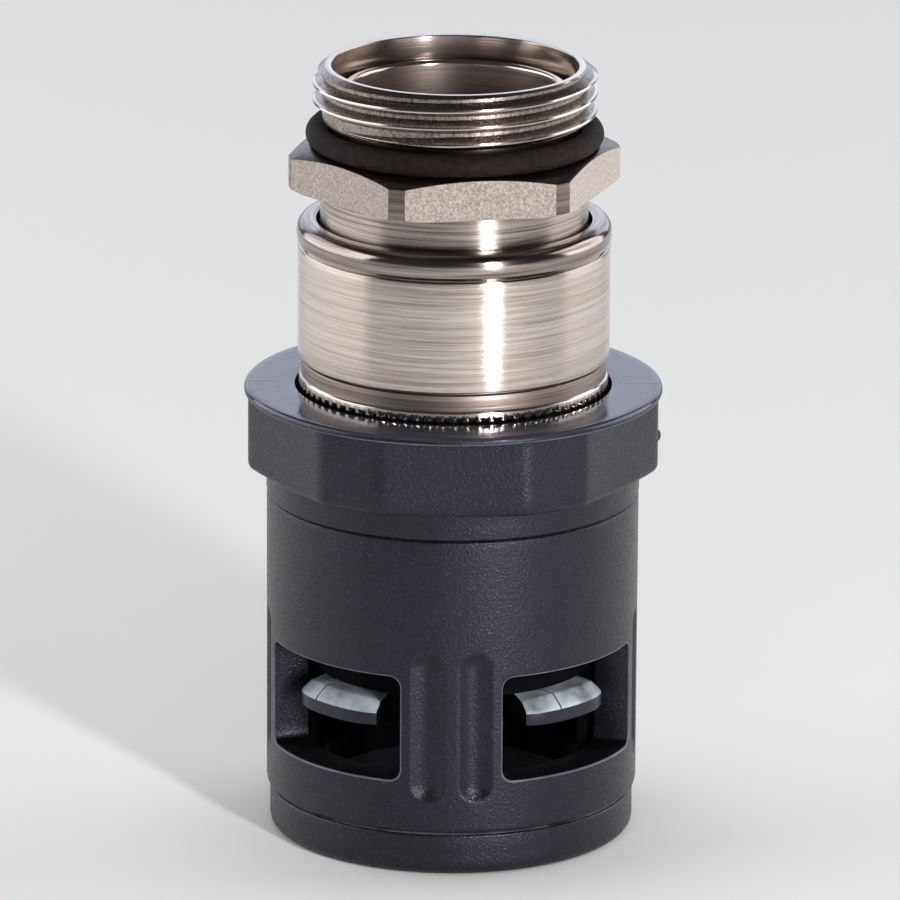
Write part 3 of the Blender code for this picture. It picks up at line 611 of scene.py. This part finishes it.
def flute_depth(degrees, height):
    """Returns how deep the flutes are at a place on the barrel."""
    from_web = (degrees + 45.0) % 90.0
    from_web = min(from_web, 90.0 - from_web)
    across = math.radians(from_web - FLUTE_SPREAD / 2) * barrel_r
    half_length = (FLUTE_TOP_Z - FLUTE_FOOT_Z) / 2
    beyond = abs(height - (FLUTE_TOP_Z + FLUTE_FOOT_Z) / 2) - (half_length - FLUTE_HALF_WIDTH)
    distance = math.hypot(across, max(0.0, beyond)) / FLUTE_HALF_WIDTH
    trough = 1.0 - distance ** 2
    return FLUTE_DEPTH * (trough + math.hypot(trough, FLUTE_BLEND)) / 2


for vert in shell.verts:
    radius = from_axis(vert.co)
    spun = math.degrees(math.atan2(vert.co.y, vert.co.x)) % 360.0
    degrees = column_angle(round(spun * SHELL_COLUMNS / 360.0) % SHELL_COLUMNS)
    angle = math.radians(degrees)
    height = vert.co.z
    if collar_foot_z - NEAR < height < rim_foot_z - 2 * NEAR and radius > band_r + NEAR:
        share = (radius - band_r) / (corner_r - band_r)
        radius = band_r + share * (collar_radius(angle) - band_r)
    elif radius > barrel_r - NEAR and height < FLUTES_CLEAR_Z - NEAR:
        radius -= flute_depth(degrees, height)
    on_parting = abs(degrees % 180.0 - PARTING_DIRECTION) < NEAR
    if on_parting and radius > outer_wall_r:
        if height > collar_top_z - 0.1:
            height += PARTING_HEIGHT * PARTING_ON_TOP
        elif radius < rim_r - PARTING_HEIGHT:
            radius += PARTING_HEIGHT
    vert.co = at(radius, angle, height)
print(f"collar: {wide_r:.2f} mm to the wide faces, {narrow_r:.2f} mm to the narrow ones")

# %% [markdown]
# A window is opened by deleting the faces of both walls inside it, sliding the loops' corner
# points onto an arc and bridging the loops. A small bevel on the rims catches the light.

# %% Open the four windows
WINDOW_CORNER = 1.0
WINDOW_EDGE = 0.16


def from_window_middle(point):
    """Returns the angle in degrees from the nearest window's middle to a point."""
    return (math.degrees(math.atan2(point.y, point.x)) + 45.0) % 90.0 - 45.0


def in_window(point):
    """Says whether a point of a wall lies inside a window."""
    return abs(from_window_middle(point)) < WINDOW_HALF and sill_z < point.z < lintel_z


def round_window_corner(vert):
    """Slides a point of a window's loop onto the arc of the nearest corner."""
    degrees = math.degrees(math.atan2(vert.co.y, vert.co.x))
    middle = round(degrees / 90.0) * 90.0
    across = math.radians(degrees - middle) * barrel_r
    side = math.copysign(1.0, across)
    upper = vert.co.z > (sill_z + lintel_z) / 2
    centre_across = math.radians(WINDOW_HALF) * barrel_r - WINDOW_CORNER
    centre_z = lintel_z - WINDOW_CORNER if upper else sill_z + WINDOW_CORNER
    away = Vector((abs(across) - centre_across, vert.co.z - centre_z))
    outwards_z = away.y > -0.001 if upper else away.y < 0.001
    if away.x > -0.001 and outwards_z and away.length > WINDOW_CORNER:
        away *= WINDOW_CORNER / away.length
        angle = math.radians(middle) + side * (centre_across + away.x) / barrel_r
        vert.co = at(from_axis(vert.co), angle, centre_z + away.y)


wall_faces = [face for face in shell.faces if in_window(face.calc_center_median())
              and from_axis(face.calc_center_median()) > bore_r - 0.3]
bmesh.ops.delete(shell, geom=wall_faces, context='FACES')
loops = [edge for edge in shell.edges if len(edge.link_faces) == 1]
for vert in {vert for edge in loops for vert in edge.verts}:
    round_window_corner(vert)
for quarter in range(4):
    middle = at(1.0, math.pi / 2 * quarter, 0.0)
    around_window = [edge for edge in loops if (edge.verts[0].co + edge.verts[1].co).dot(middle)
                     > math.sqrt(2.0) * bore_r]
    bmesh.ops.bridge_loops(shell, edges=around_window)
rims = [edge for edge in loops if edge.is_valid]
round_off(shell, rims, WINDOW_EDGE, EDGE_STEPS)
print(len(wall_faces), "faces deleted,", len(rims), "rim edges rounded")

# %% [markdown]
# The nylon entered the mould on the collar's right side, where a flattened ball makes its nub.

# %% Add the gate mark
GATE_HEIGHT = 35.6
GATE_RADIUS = 0.5
GATE_FLATNESS = 0.55
GATE_DIRECTION = 45.0
gate = bmesh.ops.create_uvsphere(shell, u_segments=20, v_segments=12, radius=GATE_RADIUS)["verts"]
bmesh.ops.scale(shell, vec=(GATE_FLATNESS, 1.0, 1.0), verts=gate)
bmesh.ops.translate(shell, vec=(narrow_r + 2 * NEAR, 0.0, GATE_HEIGHT), verts=gate)
rotate(shell, gate, math.radians(GATE_DIRECTION))
print(len(gate), "points in the gate mark")

# %% [markdown]
# A face's nylon follows from its place. The collar's top is polished and painted lighter, thin
# rims have a painted highlight, sills and bore have painted shade, inner walls are smooth, and
# everything else has the grain.

# %% Finish the shell
SLOPED = 0.97
STEEP = 0.6
rim_edge_r = barrel_r - 0.25


def shell_finish(face):
    """Chooses a finish by place: painted light on the top and rims, painted shade on sills and
    bore.
    """
    middle = face.calc_center_median()
    radius = from_axis(middle)
    if middle.z > collar_top_z - 0.2:
        return polished_nylon_painted_light
    if radius < bore_r + 0.1:
        return painted_shade_nylon
    beside = abs(from_window_middle(middle)) < WINDOW_HALF + 1.0
    at_window = beside and sill_z - 0.4 < middle.z < lintel_z + 0.4
    outwards = abs(face.normal.x * middle.x + face.normal.y * middle.y) / radius
    if at_window and radius > rim_edge_r and outwards < SLOPED:
        return rim_painted_highlight_nylon
    if at_window and radius < rim_edge_r:
        return painted_shade_nylon if abs(face.normal.z) > STEEP else grained_nylon
    if abs(middle.z - rim_foot_z) < 0.12 and radius > corner_r + NEAR:
        return rim_painted_highlight_nylon
    return smooth_nylon if radius < outer_wall_r else grained_nylon


finish(shell, "shell_moulding", "shell", "body_shell", shell_nylons, shell_finish)

# %% [markdown]
# ## The locking ring
#
# The lowest ring, a spigot, four posts behind the shell's webs, a hoop on them and four claws are
# one moulding. The claws hang from the hoop on thin hinges, so that they can swing outwards when a
# conduit is pushed in. Ring and claws are turned as if they went all the way round, and blocks
# that follow the curve then cut away what is between them.

# %% Turn the ring and the claws
ring_bore_r = 10.9
spigot_r = 12.75
spigot_top_z = 6.0
post_bore_r = 11.45
hoop_r = 12.45
hoop_foot_z = claw_top_z + 0.05
end_ring_top_z = 3.7
claw_r = 15.3
claw_back_r = 14.1
tooth_r = 10.0
hinge_r = hoop_r - 0.2
hinge_back_r = post_bore_r + 0.2
claw_face_z = claw_foot_z + 1.35
hinge_top_z = claw_top_z + 0.5
RING_STEPS = 288

ring = turn([
    (hoop_r, hoop_top_z, 0.15), (hoop_r, hoop_foot_z, 0.1), (spigot_r, hoop_foot_z - 0.3, 0.1),
    (spigot_r, end_ring_top_z, 0.3), (15.0, end_ring_top_z), (end_ring_r, end_ring_top_z, 0.2),
    (end_ring_r, 2.4), (end_ring_r, 1.4), (end_ring_r, 0.0, 0.9), (13.2, 0.0),
    (ring_bore_r, 0.0, 0.6), (ring_bore_r, 3.5), (ring_bore_r, spigot_top_z, 0.2),
    (post_bore_r, spigot_top_z + 0.3), (post_bore_r, hoop_top_z, 0.15)], RING_STEPS)
claws = turn([
    (claw_back_r, claw_top_z, 0.15), (claw_r, claw_face_z, 0.3), (claw_r, claw_foot_z, 0.15),
    (post_bore_r, claw_foot_z, 0.1), (tooth_r, claw_face_z), (tooth_r, claw_face_z + 0.3),
    (post_bore_r, claw_top_z, 0.1), (hinge_back_r, claw_top_z), (hinge_back_r, hinge_top_z),
    (hinge_r, hinge_top_z), (hinge_r, claw_top_z)], RING_STEPS)
print("hoop from", round(hoop_foot_z, 2), "to", round(hoop_top_z, 2), "mm")

# %% [markdown]
# A block is a cube, cut into slices and bent round the axis, and copied to each quarter.

# %% Cut the posts and claws free
CLAW_HALF = 18.5
POST_HALF = 12.0
BLOCK_SLICES = 24


def curved_blocks(direction_angle, half_angle, low_z, high_z, corner):
    """Makes four blocks that follow the ring's curve, the first about a direction in degrees."""
    inner_r, outer_r = 9.0, 16.5
    middle_r = (inner_r + outer_r) / 2
    width = 2 * math.radians(half_angle) * middle_r
    bm = bmesh.new()
    bmesh.ops.create_cube(bm, size=1.0)
    bmesh.ops.scale(bm, vec=(outer_r - inner_r, width, high_z - low_z), verts=bm.verts)
    if corner:
        radial = [e for e in bm.edges if abs(e.verts[0].co.x - e.verts[1].co.x) > 1.0]
        round_off(bm, radial, corner, ROUND_STEPS)
    for index in range(1, BLOCK_SLICES):
        bmesh.ops.bisect_plane(bm, geom=everything(bm),
                               plane_co=(0, width * (index / BLOCK_SLICES - 0.5), 0),
                               plane_no=(0, 1, 0))
    for vert in bm.verts:
        angle = vert.co.y / middle_r + math.radians(direction_angle)
        vert.co = at(middle_r + vert.co.x, angle, vert.co.z + (low_z + high_z) / 2)
    first = everything(bm)
    for quarter in range(1, 4):
        copy = bmesh.ops.duplicate(bm, geom=first)["geom"]
        points = [item for item in copy if isinstance(item, bmesh.types.BMVert)]
        rotate(bm, points, math.pi / 2 * quarter)
    bmesh.ops.recalc_face_normals(bm, faces=bm.faces)
    return bm


ring = combine(ring, curved_blocks(0.0, 45.0 - POST_HALF, spigot_top_z - 0.02, hoop_foot_z, 0.5),
               'DIFFERENCE')
claws = combine(claws, curved_blocks(45.0, 45.0 - CLAW_HALF, claw_foot_z - 1.0, claw_top_z + 1.0,
                                     0.0), 'DIFFERENCE')
print(len(ring.faces), "faces left on the ring,", len(claws.faces), "on the claws")

# %% [markdown]
# Each claw has a fine dark mark across its slope. Two planes cut the mark's borders into the
# claws, so that its faces can be dark. The claws' edges are softened, and their ends are drawn in
# and down a little, which rounds them. Only then do they join the hoop.

# %% Mark and round the claws
NICK_ANGLE = -6.0
NICK_HALF = 0.25
CLAW_SOFTNESS = 0.13
CLAW_ROUND = 9.0
CLAW_TAPER = 0.2
claw_root_r = hoop_r + 0.1
for nick_side in (NICK_ANGLE - NICK_HALF, NICK_ANGLE + NICK_HALF):
    for quarter in (0.0, 90.0):
        across = math.radians(nick_side + quarter + 90.0)
        bmesh.ops.bisect_plane(claws, geom=everything(claws), plane_co=(0, 0, 0),
                               plane_no=(math.cos(across), math.sin(across), 0))
softened = soften(claws, CLAW_SOFTNESS, 50.0,
                  lambda edge: max(from_axis(vert.co) for vert in edge.verts) > claw_root_r)
print(softened, "edges of the claws softened")
half_face_z = (claw_foot_z + claw_face_z) / 2
for vert in claws.verts:
    radius = from_axis(vert.co)
    past_round = max(0.0, abs(from_window_middle(vert.co)) - CLAW_ROUND)
    taper = CLAW_TAPER * (past_round / (CLAW_HALF - CLAW_ROUND)) ** 2
    if radius > claw_root_r:
        vert.co.xy *= 1.0 - taper * (radius - hoop_r) / radius
        vert.co.z -= taper * max(0.0, vert.co.z - half_face_z)
ring = combine(ring, claws, 'UNION')

# %% Finish the locking ring
FACES_UP = 0.2
FACES_SIDEWAYS = 0.9
SIDE_EDGE = 0.6


def ring_finish(face):
    """Chooses grain for the end ring, a painted highlight on the claws' slopes, painted shade
    inside.
    """
    middle = face.calc_center_median()
    radius = from_axis(middle)
    if middle.z < end_ring_top_z:
        return grained_nylon
    if radius < hoop_r + 0.4:
        on_spigot = radius > spigot_r - 0.2 and middle.z < spigot_top_z + 0.1
        return smooth_nylon if on_spigot else painted_shade_nylon
    faces_up = face.normal.z > FACES_UP
    sideways = abs(face.normal.y * middle.x - face.normal.x * middle.y) / radius
    nicked = faces_up and abs(from_window_middle(middle) - NICK_ANGLE) < NICK_HALF
    if sideways > FACES_SIDEWAYS or nicked:
        return painted_shade_nylon
    return claw_painted_highlight_nylon if faces_up or sideways > SIDE_EDGE else smooth_nylon


finish(ring, "claw_ring", "lock", "locking_ring", ring_nylons, ring_finish)

# %% [markdown]
# ## The swivel sleeve
#
# The sleeve is turned brass with a rolled bead on top that holds the nipple in. Its foot has an
# undercut, a recessed band and a straight knurl that is pressed into the collar. A knurl is teeth
# at an even spacing, so the spin uses six columns for each tooth, and three of the six are pushed
# in for its valley, the middle one the most.

# %% Turn the sleeve and press its knurl
KNURL_TEETH = 76
COLUMNS_PER_TOOTH = 6
KNURL_DEPTH = 0.34
VALLEY_DEPTHS = (1.0, 0.4, 0.0, 0.0, 0.0, 0.4)
SLEEVE_COLUMNS = KNURL_TEETH * COLUMNS_PER_TOOTH
sleeve_r = bead_r - 0.1
sleeve_foot_z = 43.1
sleeve_top_z = 53.0
knurl_top_z = 41.3
knurl_foot_z = 37.3
shank_r = sleeve_r - 0.1
seal_groove_r = 12.1
recess_r = 13.38
undercut_r = recess_r - 0.3
chamber_r = 12.8
lip_r = 12.05

sleeve_corners = [(lip_r, bead_top_z, 0.2), (bead_r, bead_top_z, 0.95),
                  (bead_r, sleeve_top_z + 0.3, 0.7), (sleeve_r - 0.28, sleeve_top_z + 0.15, 0.05),
                  (sleeve_r, sleeve_top_z, 0.08)]
sleeve_corners += [(sleeve_r, z) for z in steps_between(52.0, 44.0, 5)]
sleeve_corners += [(sleeve_r, sleeve_foot_z, 0.12), (undercut_r, sleeve_foot_z, 0.05),
                   (undercut_r, sleeve_foot_z - 0.22, 0.05), (recess_r, sleeve_foot_z - 0.3, 0.06),
                   (recess_r, knurl_top_z + 0.15, 0.05), (shank_r - 0.02, knurl_top_z, 0.06),
                   (shank_r, knurl_top_z - 0.4), (shank_r, knurl_top_z - 0.55),
                   (shank_r, knurl_top_z - 0.75), (shank_r, 39.5), (shank_r, knurl_foot_z),
                   (shank_r - 0.3, knurl_foot_z - 0.2), (shank_r - 0.3, 36.5),
                   (seal_groove_r, 36.5), (seal_groove_r, 34.7), (shank_r - 0.3, 34.7),
                   (shank_r - 0.3, shank_foot_z, 0.2), (11.2, shank_foot_z, 0.2), (11.2, 44.5),
                   (chamber_r, 44.5), (chamber_r, sleeve_top_z), (lip_r, sleeve_top_z)]
sleeve = turn(sleeve_corners, SLEEVE_COLUMNS)
for vert in sleeve.verts:
    radius = from_axis(vert.co)
    if radius > shank_r - NEAR and knurl_foot_z - 0.1 < vert.co.z < knurl_top_z - 0.5:
        column = round(math.atan2(vert.co.y, vert.co.x) * SLEEVE_COLUMNS / (2 * math.pi))
        vert.co.xy *= 1.0 - KNURL_DEPTH * VALLEY_DEPTHS[column % COLUMNS_PER_TOOTH] / radius
print(KNURL_TEETH, "teeth on the knurl")

# %% Finish the sleeve


def sleeve_finish(face):
    """Chooses turned nickel for the sleeve, others for its bead and lips, painted shade lower down.
    """
    height = face.calc_center_median().z
    if height > sleeve_top_z - 0.1:
        return bead_nickel
    if height > sleeve_foot_z + 0.1:
        return turned_nickel
    if height < knurl_top_z - 0.76:
        return painted_shade_knurl_nickel
    return dull_painted_shade_nickel if knurl_top_z + 0.1 < height < sleeve_foot_z else bright_nickel


finish(sleeve, "sleeve_turned", "shell", "swivel_sleeve", sleeve_metals,
       sleeve_finish, sharp_angle=32.0)

# %% [markdown]
# ## The threaded nipple
#
# The nipple's body is turned first, and the thread and the hexagon are joined to it.

# %% Turn the nipple's body
THREAD_ROOT_R = 11.6
RIM_R = 11.36
RIM_FLARE = 1.28
hex_foot_z = 58.4
hex_top_z = 62.0
seat_top_z = 64.3
neck_r = 11.75
ring_seat_r = 10.95
spigot_end_r = 12.5
swivel_groove_r = 11.2
mouth_r = 10.8
nipple_bore_r = 10.2

nipple = turn([
    (mouth_r, rim_z, 0.12), (RIM_R, rim_z, 0.06),
    (THREAD_ROOT_R, rim_z - (THREAD_ROOT_R - RIM_R) / RIM_FLARE),
    (THREAD_ROOT_R, 66.5), (THREAD_ROOT_R, seat_top_z, 0.15), (ring_seat_r, seat_top_z),
    (ring_seat_r, hex_top_z),
    (neck_r, hex_top_z), (neck_r, hex_foot_z, 0.0), (neck_r, 57.0), (neck_r, 52.7),
    (spigot_end_r, 52.7, 0.1), (spigot_end_r, 48.9), (swivel_groove_r, 48.9),
    (swivel_groove_r, 47.3), (spigot_end_r, 47.3), (spigot_end_r, nipple_foot_z, 0.1),
    (nipple_bore_r, nipple_foot_z, 0.1), (nipple_bore_r, 65.8), (mouth_r, 66.4)])
print(len(nipple.verts), "points in the nipple's body")

# %% [markdown]
# The thread is a ridge that climbs 1.5 mm in each turn. Spinning its section with a small rise at
# each step gives the helix, and the first and last sections shrink into the core, as a thread
# runs out. Crossing the ridge with a cone cuts the lead-in that helps a nut to start.

# %% Sweep the thread
THREAD_PITCH = 1.5
THREAD_R = 12.45
THREAD_TURNS = 3.4
THREAD_START_Z = 64.57
THREAD_START_ANGLE = -120.0
THREAD_FADE = 0.2
LEAST_RISE = 0.04
LEAST_WIDTH = 0.4
SECTIONS_PER_TURN = 120
ridge_core_r = 11.4
inside_r = 9.0
ridge_profile = [(ridge_core_r, -0.67), (11.62, -0.60), (12.2, -0.24), (12.4, -0.13),
                 (THREAD_R, 0.0), (12.4, 0.13), (12.2, 0.24), (11.62, 0.60), (ridge_core_r, 0.67)]
ridge = outline(ridge_profile)
thread_sections = round(THREAD_TURNS * SECTIONS_PER_TURN)
spin_round(ridge, thread_sections, thread_sections / SECTIONS_PER_TURN,
           THREAD_PITCH / SECTIONS_PER_TURN)
ridge.verts.ensure_lookup_table()
for number, vert in enumerate(ridge.verts):
    turns = (number // len(ridge_profile)) / SECTIONS_PER_TURN
    rise = max(LEAST_RISE, min(1.0, turns / THREAD_FADE))
    radius = from_axis(vert.co)
    vert.co.xy *= (ridge_core_r + (radius - ridge_core_r) * rise) / radius
    middle_z = turns * THREAD_PITCH
    vert.co.z = middle_z + (vert.co.z - middle_z) * max(rise, LEAST_WIDTH)
bmesh.ops.holes_fill(ridge, edges=[edge for edge in ridge.edges if len(edge.link_faces) == 1])
bmesh.ops.translate(ridge, vec=(0, 0, THREAD_START_Z), verts=ridge.verts)
rotate(ridge, ridge.verts, math.radians(THREAD_START_ANGLE))
bmesh.ops.recalc_face_normals(ridge, faces=ridge.faces)
rim_cone_z = rim_z + 0.02
cone_foot_z = 62.5
cone_r = THREAD_R + 0.5
lead_in = turn([(inside_r, rim_cone_z), (RIM_R, rim_cone_z),
                (cone_r, rim_cone_z - (cone_r - RIM_R) / RIM_FLARE), (cone_r, cone_foot_z),
                (inside_r, cone_foot_z)])
ridge = combine(ridge, lead_in, 'INTERSECT')
print("thread:", thread_sections, "sections,", f"{THREAD_TURNS} turns")

# %% [markdown]
# The hexagon is a disc with a 20 degree chamfer, crossed with a six-sided prism. It stands with
# one face 35 degrees off the X axis, as in the photograph. Its corners are turned off, so each
# corner is a narrow round strip between two faces.

# %% Cut the hexagon and join the nipple
HEX_FACE_R = 13.0
HEX_CORNER_R = 14.6
HEX_TURN = -35.0
HEX_CHAMFER = 20.0
HEX_SOFTNESS = 0.1
PRISM_HEIGHT = 6.0
hub_r = 10.6
hub_foot_z = hex_foot_z - 0.4
chamfer_r = (THREAD_R + HEX_FACE_R) / 2
chamfer_drop = (HEX_CORNER_R - chamfer_r) * math.tan(math.radians(HEX_CHAMFER))
disc = turn([(chamfer_r, hex_top_z), (HEX_CORNER_R, hex_top_z - chamfer_drop),
             (HEX_CORNER_R, hex_foot_z + 0.2), (HEX_CORNER_R - 0.6, hex_foot_z),
             (neck_r + 0.1, hex_foot_z), (neck_r - 0.3, hub_foot_z),
             (hub_r, hub_foot_z), (hub_r, hex_top_z)])
prism = bmesh.new()
prism_corner_r = HEX_FACE_R / math.cos(math.pi / 6)
bmesh.ops.create_cone(prism, cap_ends=True, segments=6, radius1=prism_corner_r,
                      radius2=prism_corner_r, depth=PRISM_HEIGHT)
prism.verts.ensure_lookup_table()
first_corner = math.atan2(prism.verts[0].co.y, prism.verts[0].co.x)
rotate(prism, prism.verts, math.radians(HEX_TURN + 30.0) - first_corner)
bmesh.ops.translate(prism, vec=(0, 0, (hex_foot_z + hex_top_z) / 2), verts=prism.verts)
bmesh.ops.recalc_face_normals(prism, faces=prism.faces)
hexagon = combine(disc, prism, 'INTERSECT')
softened = soften(hexagon, HEX_SOFTNESS, 20.0, lambda edge: min(
    from_axis(vert.co) for vert in edge.verts) > 12.3)
print(softened, "edges of the hexagon softened")
nipple = combine(nipple, hexagon, 'UNION')
nipple = combine(nipple, ridge, 'UNION')

# %% Finish the nipple
CORNER_STRIP_R = 14.3
ROUND_STRIP = 0.992
FLANK_FOOT_R = 11.5
FLANK_TOP_R = 12.22


def nipple_finish(face):
    """Chooses milled nickel for the hexagon, others for the neck and crests, painted shade
    elsewhere.
    """
    middle = face.calc_center_median()
    radius = from_axis(middle)
    if middle.z < hex_foot_z - 0.05:
        return neck_nickel
    if middle.z < hex_top_z + 0.05 and radius > 11.9:
        if radius > CORNER_STRIP_R:
            outwards = (face.normal.x * middle.x + face.normal.y * middle.y) / radius
            return dull_painted_shade_nickel if outwards > ROUND_STRIP else dark_painted_shade_nickel
        return dark_painted_shade_nickel if face.normal.z > FACES_UP else milled_nickel
    on_flank = middle.z > seat_top_z and FLANK_FOOT_R < radius < FLANK_TOP_R
    return flank_painted_shade_nickel if on_flank else bright_nickel


finish(nipple, "nipple_turned", "nipple", "threaded_nipple", nipple_metals,
       nipple_finish, sharp_angle=22.0)

# %% [markdown]
# ## The liner and the seals
#
# The liner is a thin tube whose upper lip is rolled outwards, and whose flange is held under the
# sleeve. The O-rings are circles spun about the axis. The gasket has two lips that press on the
# conduit.

# %% Turn the liner
liner_bore_r = 9.1
liner_r = 9.6
rolled_lip_r = 9.88
flange_top_z = liner_foot_z + 0.8
liner = turn([
    (rolled_lip_r, liner_top_z, 0.3), (rolled_lip_r, liner_top_z - 0.75, 0.3),
    (liner_r, liner_top_z - 1.1, 0.1), (liner_r, 60.0), (liner_r, 45.0),
    (liner_r, flange_top_z, 0.1), (liner_flange_r, flange_top_z, 0.1),
    (liner_flange_r, liner_foot_z, 0.1), (liner_bore_r, liner_foot_z, 0.3), (liner_bore_r, 45.0),
    (liner_bore_r, 60.0), (liner_bore_r, liner_top_z, 0.35)], SMALL_STEPS)


def liner_finish(face):
    """Chooses bright nickel for the rolled lip and dull nickel with painted shade for the tube."""
    on_lip = face.calc_center_median().z > liner_top_z - 0.6
    return bright_nickel if on_lip else dull_painted_shade_nickel


finish(liner, "liner_rolled", "shell", "liner_tube",
       [dull_painted_shade_nickel, bright_nickel], liner_finish)

# %% [markdown]
# An O-ring fills its CAD solid's box. The one on the hexagon is squeezed down onto the chamfer.

# %% Spin the O-rings
SECTION_SEGMENTS = 20


def o_ring(name, body, node, squeeze=0.0):
    """Spins a circle that fills the CAD ring's box and reaches lower by the squeeze."""
    outer_r, low_z, high_z = extent(node)
    low_z -= squeeze
    outer_r += squeeze / 3
    section_r = (high_z - low_z) / 2
    bm = bmesh.new()
    bmesh.ops.create_circle(bm, cap_ends=False, segments=SECTION_SEGMENTS, radius=section_r,
                            matrix=Matrix.Translation((outer_r - section_r, 0.0, low_z + section_r))
                            @ Matrix.Rotation(math.pi / 2, 4, 'X'))
    spin_round(bm, SMALL_STEPS)
    finish(bm, name, body, node, [rubber])


o_ring("thread_seal", "nipple", "thread_o_ring", 0.3)
o_ring("swivel_seal", "shell", "swivel_o_ring")
o_ring("shank_seal", "shell", "shank_o_ring")

# %% Turn the gasket
GASKET_LIPS = 2
lip_half_height = 1.1
gasket_back_r = 10.9
gasket_lip_r = 10.35
lip_spacing = (seal_top_z - seal_foot_z) / GASKET_LIPS
gasket_corners = [(seal_r, seal_top_z, 0.2), (seal_r, seal_foot_z, 0.2),
                  (gasket_back_r, seal_foot_z, 0.2)]
for lip in range(GASKET_LIPS):
    lip_z = seal_foot_z + lip_spacing * (lip + 0.5)
    gasket_corners += [(gasket_back_r, lip_z - lip_half_height), (gasket_lip_r, lip_z, 0.2),
                       (gasket_back_r, lip_z + lip_half_height)]
gasket_corners.append((gasket_back_r, seal_top_z, 0.2))
finish(turn(gasket_corners, SMALL_STEPS), "conduit_gasket", "shell", "conduit_seal",
       [rubber])

# %% [markdown]
# ## The studio
#
# The floor is a plain pale sheet. Light comes from a large soft box on the left, a weaker one on
# the right, a narrow strip to the right of the camera that draws the bright line down the metal,
# and one behind the object for its rims. Two soft fills, from above and in front, lift the shadows
# and are hidden from reflections.

# %% Lay the floor
FLOOR_RADIUS = 3.0
floor_bm = bmesh.new()
bmesh.ops.create_circle(floor_bm, cap_ends=True, segments=96, radius=FLOOR_RADIUS)
floor = stand("floor", to_mesh(floor_bm, "floor"))
floor.data.materials.append(new_material("pale_floor", "#e6e6e4", 0.9)[0])
print("floor radius", FLOOR_RADIUS, "m")

# %% Hang the lamps


def softbox(name, azimuth, elevation, distance, width, height, power, colour="#ffffff"):
    """Hangs a soft box at angles in degrees from the camera's direction, sizes in metres."""
    light = bpy.data.lights.new(name, 'AREA')
    light.shape = 'RECTANGLE'
    light.size = width
    light.size_y = height
    light.energy = power
    light.color = linear(colour)[:3]
    lamp = stand(name, light)
    target = Vector((0, 0, AIM_HEIGHT))
    way = direction(CAMERA_AZIMUTH + math.radians(azimuth), math.radians(elevation))
    lamp.matrix_world = look(target + way * distance, target)
    lamp.visible_camera = False
    return lamp


softbox("left_softbox", -102, 18, 0.5, 0.74, 0.42, 2.3)
softbox("right_softbox", 112, 18, 0.55, 0.50, 0.45, 1.8)
softbox("strip_light", 28, 13.8, 0.36, 0.026, 0.235, 1.2)
softbox("back_softbox", 180, 16, 0.8, 1.0, 0.4, 1.8, "#e4ecff")
fills = [softbox("top_softbox", 180, 78, 0.9, 0.5, 0.5, 2.0),
         softbox("front_fill", -8, 55, 0.9, 0.5, 0.3, 0.8)]
for fill in fills:
    fill.visible_glossy = False
print("lamps:", [light.name for light in bpy.data.lights])

# %% Light the room faintly
ROOM_LIGHT = 0.10
world = bpy.data.worlds.new("studio")
bpy.context.scene.world = world
world.use_nodes = True
background = world.node_tree.nodes["Background"]
background.inputs["Color"].default_value = linear("#c4c6ca")
background.inputs["Strength"].default_value = ROOM_LIGHT
bpy.context.scene.view_settings.view_transform = 'Standard'
print("room light:", ROOM_LIGHT)
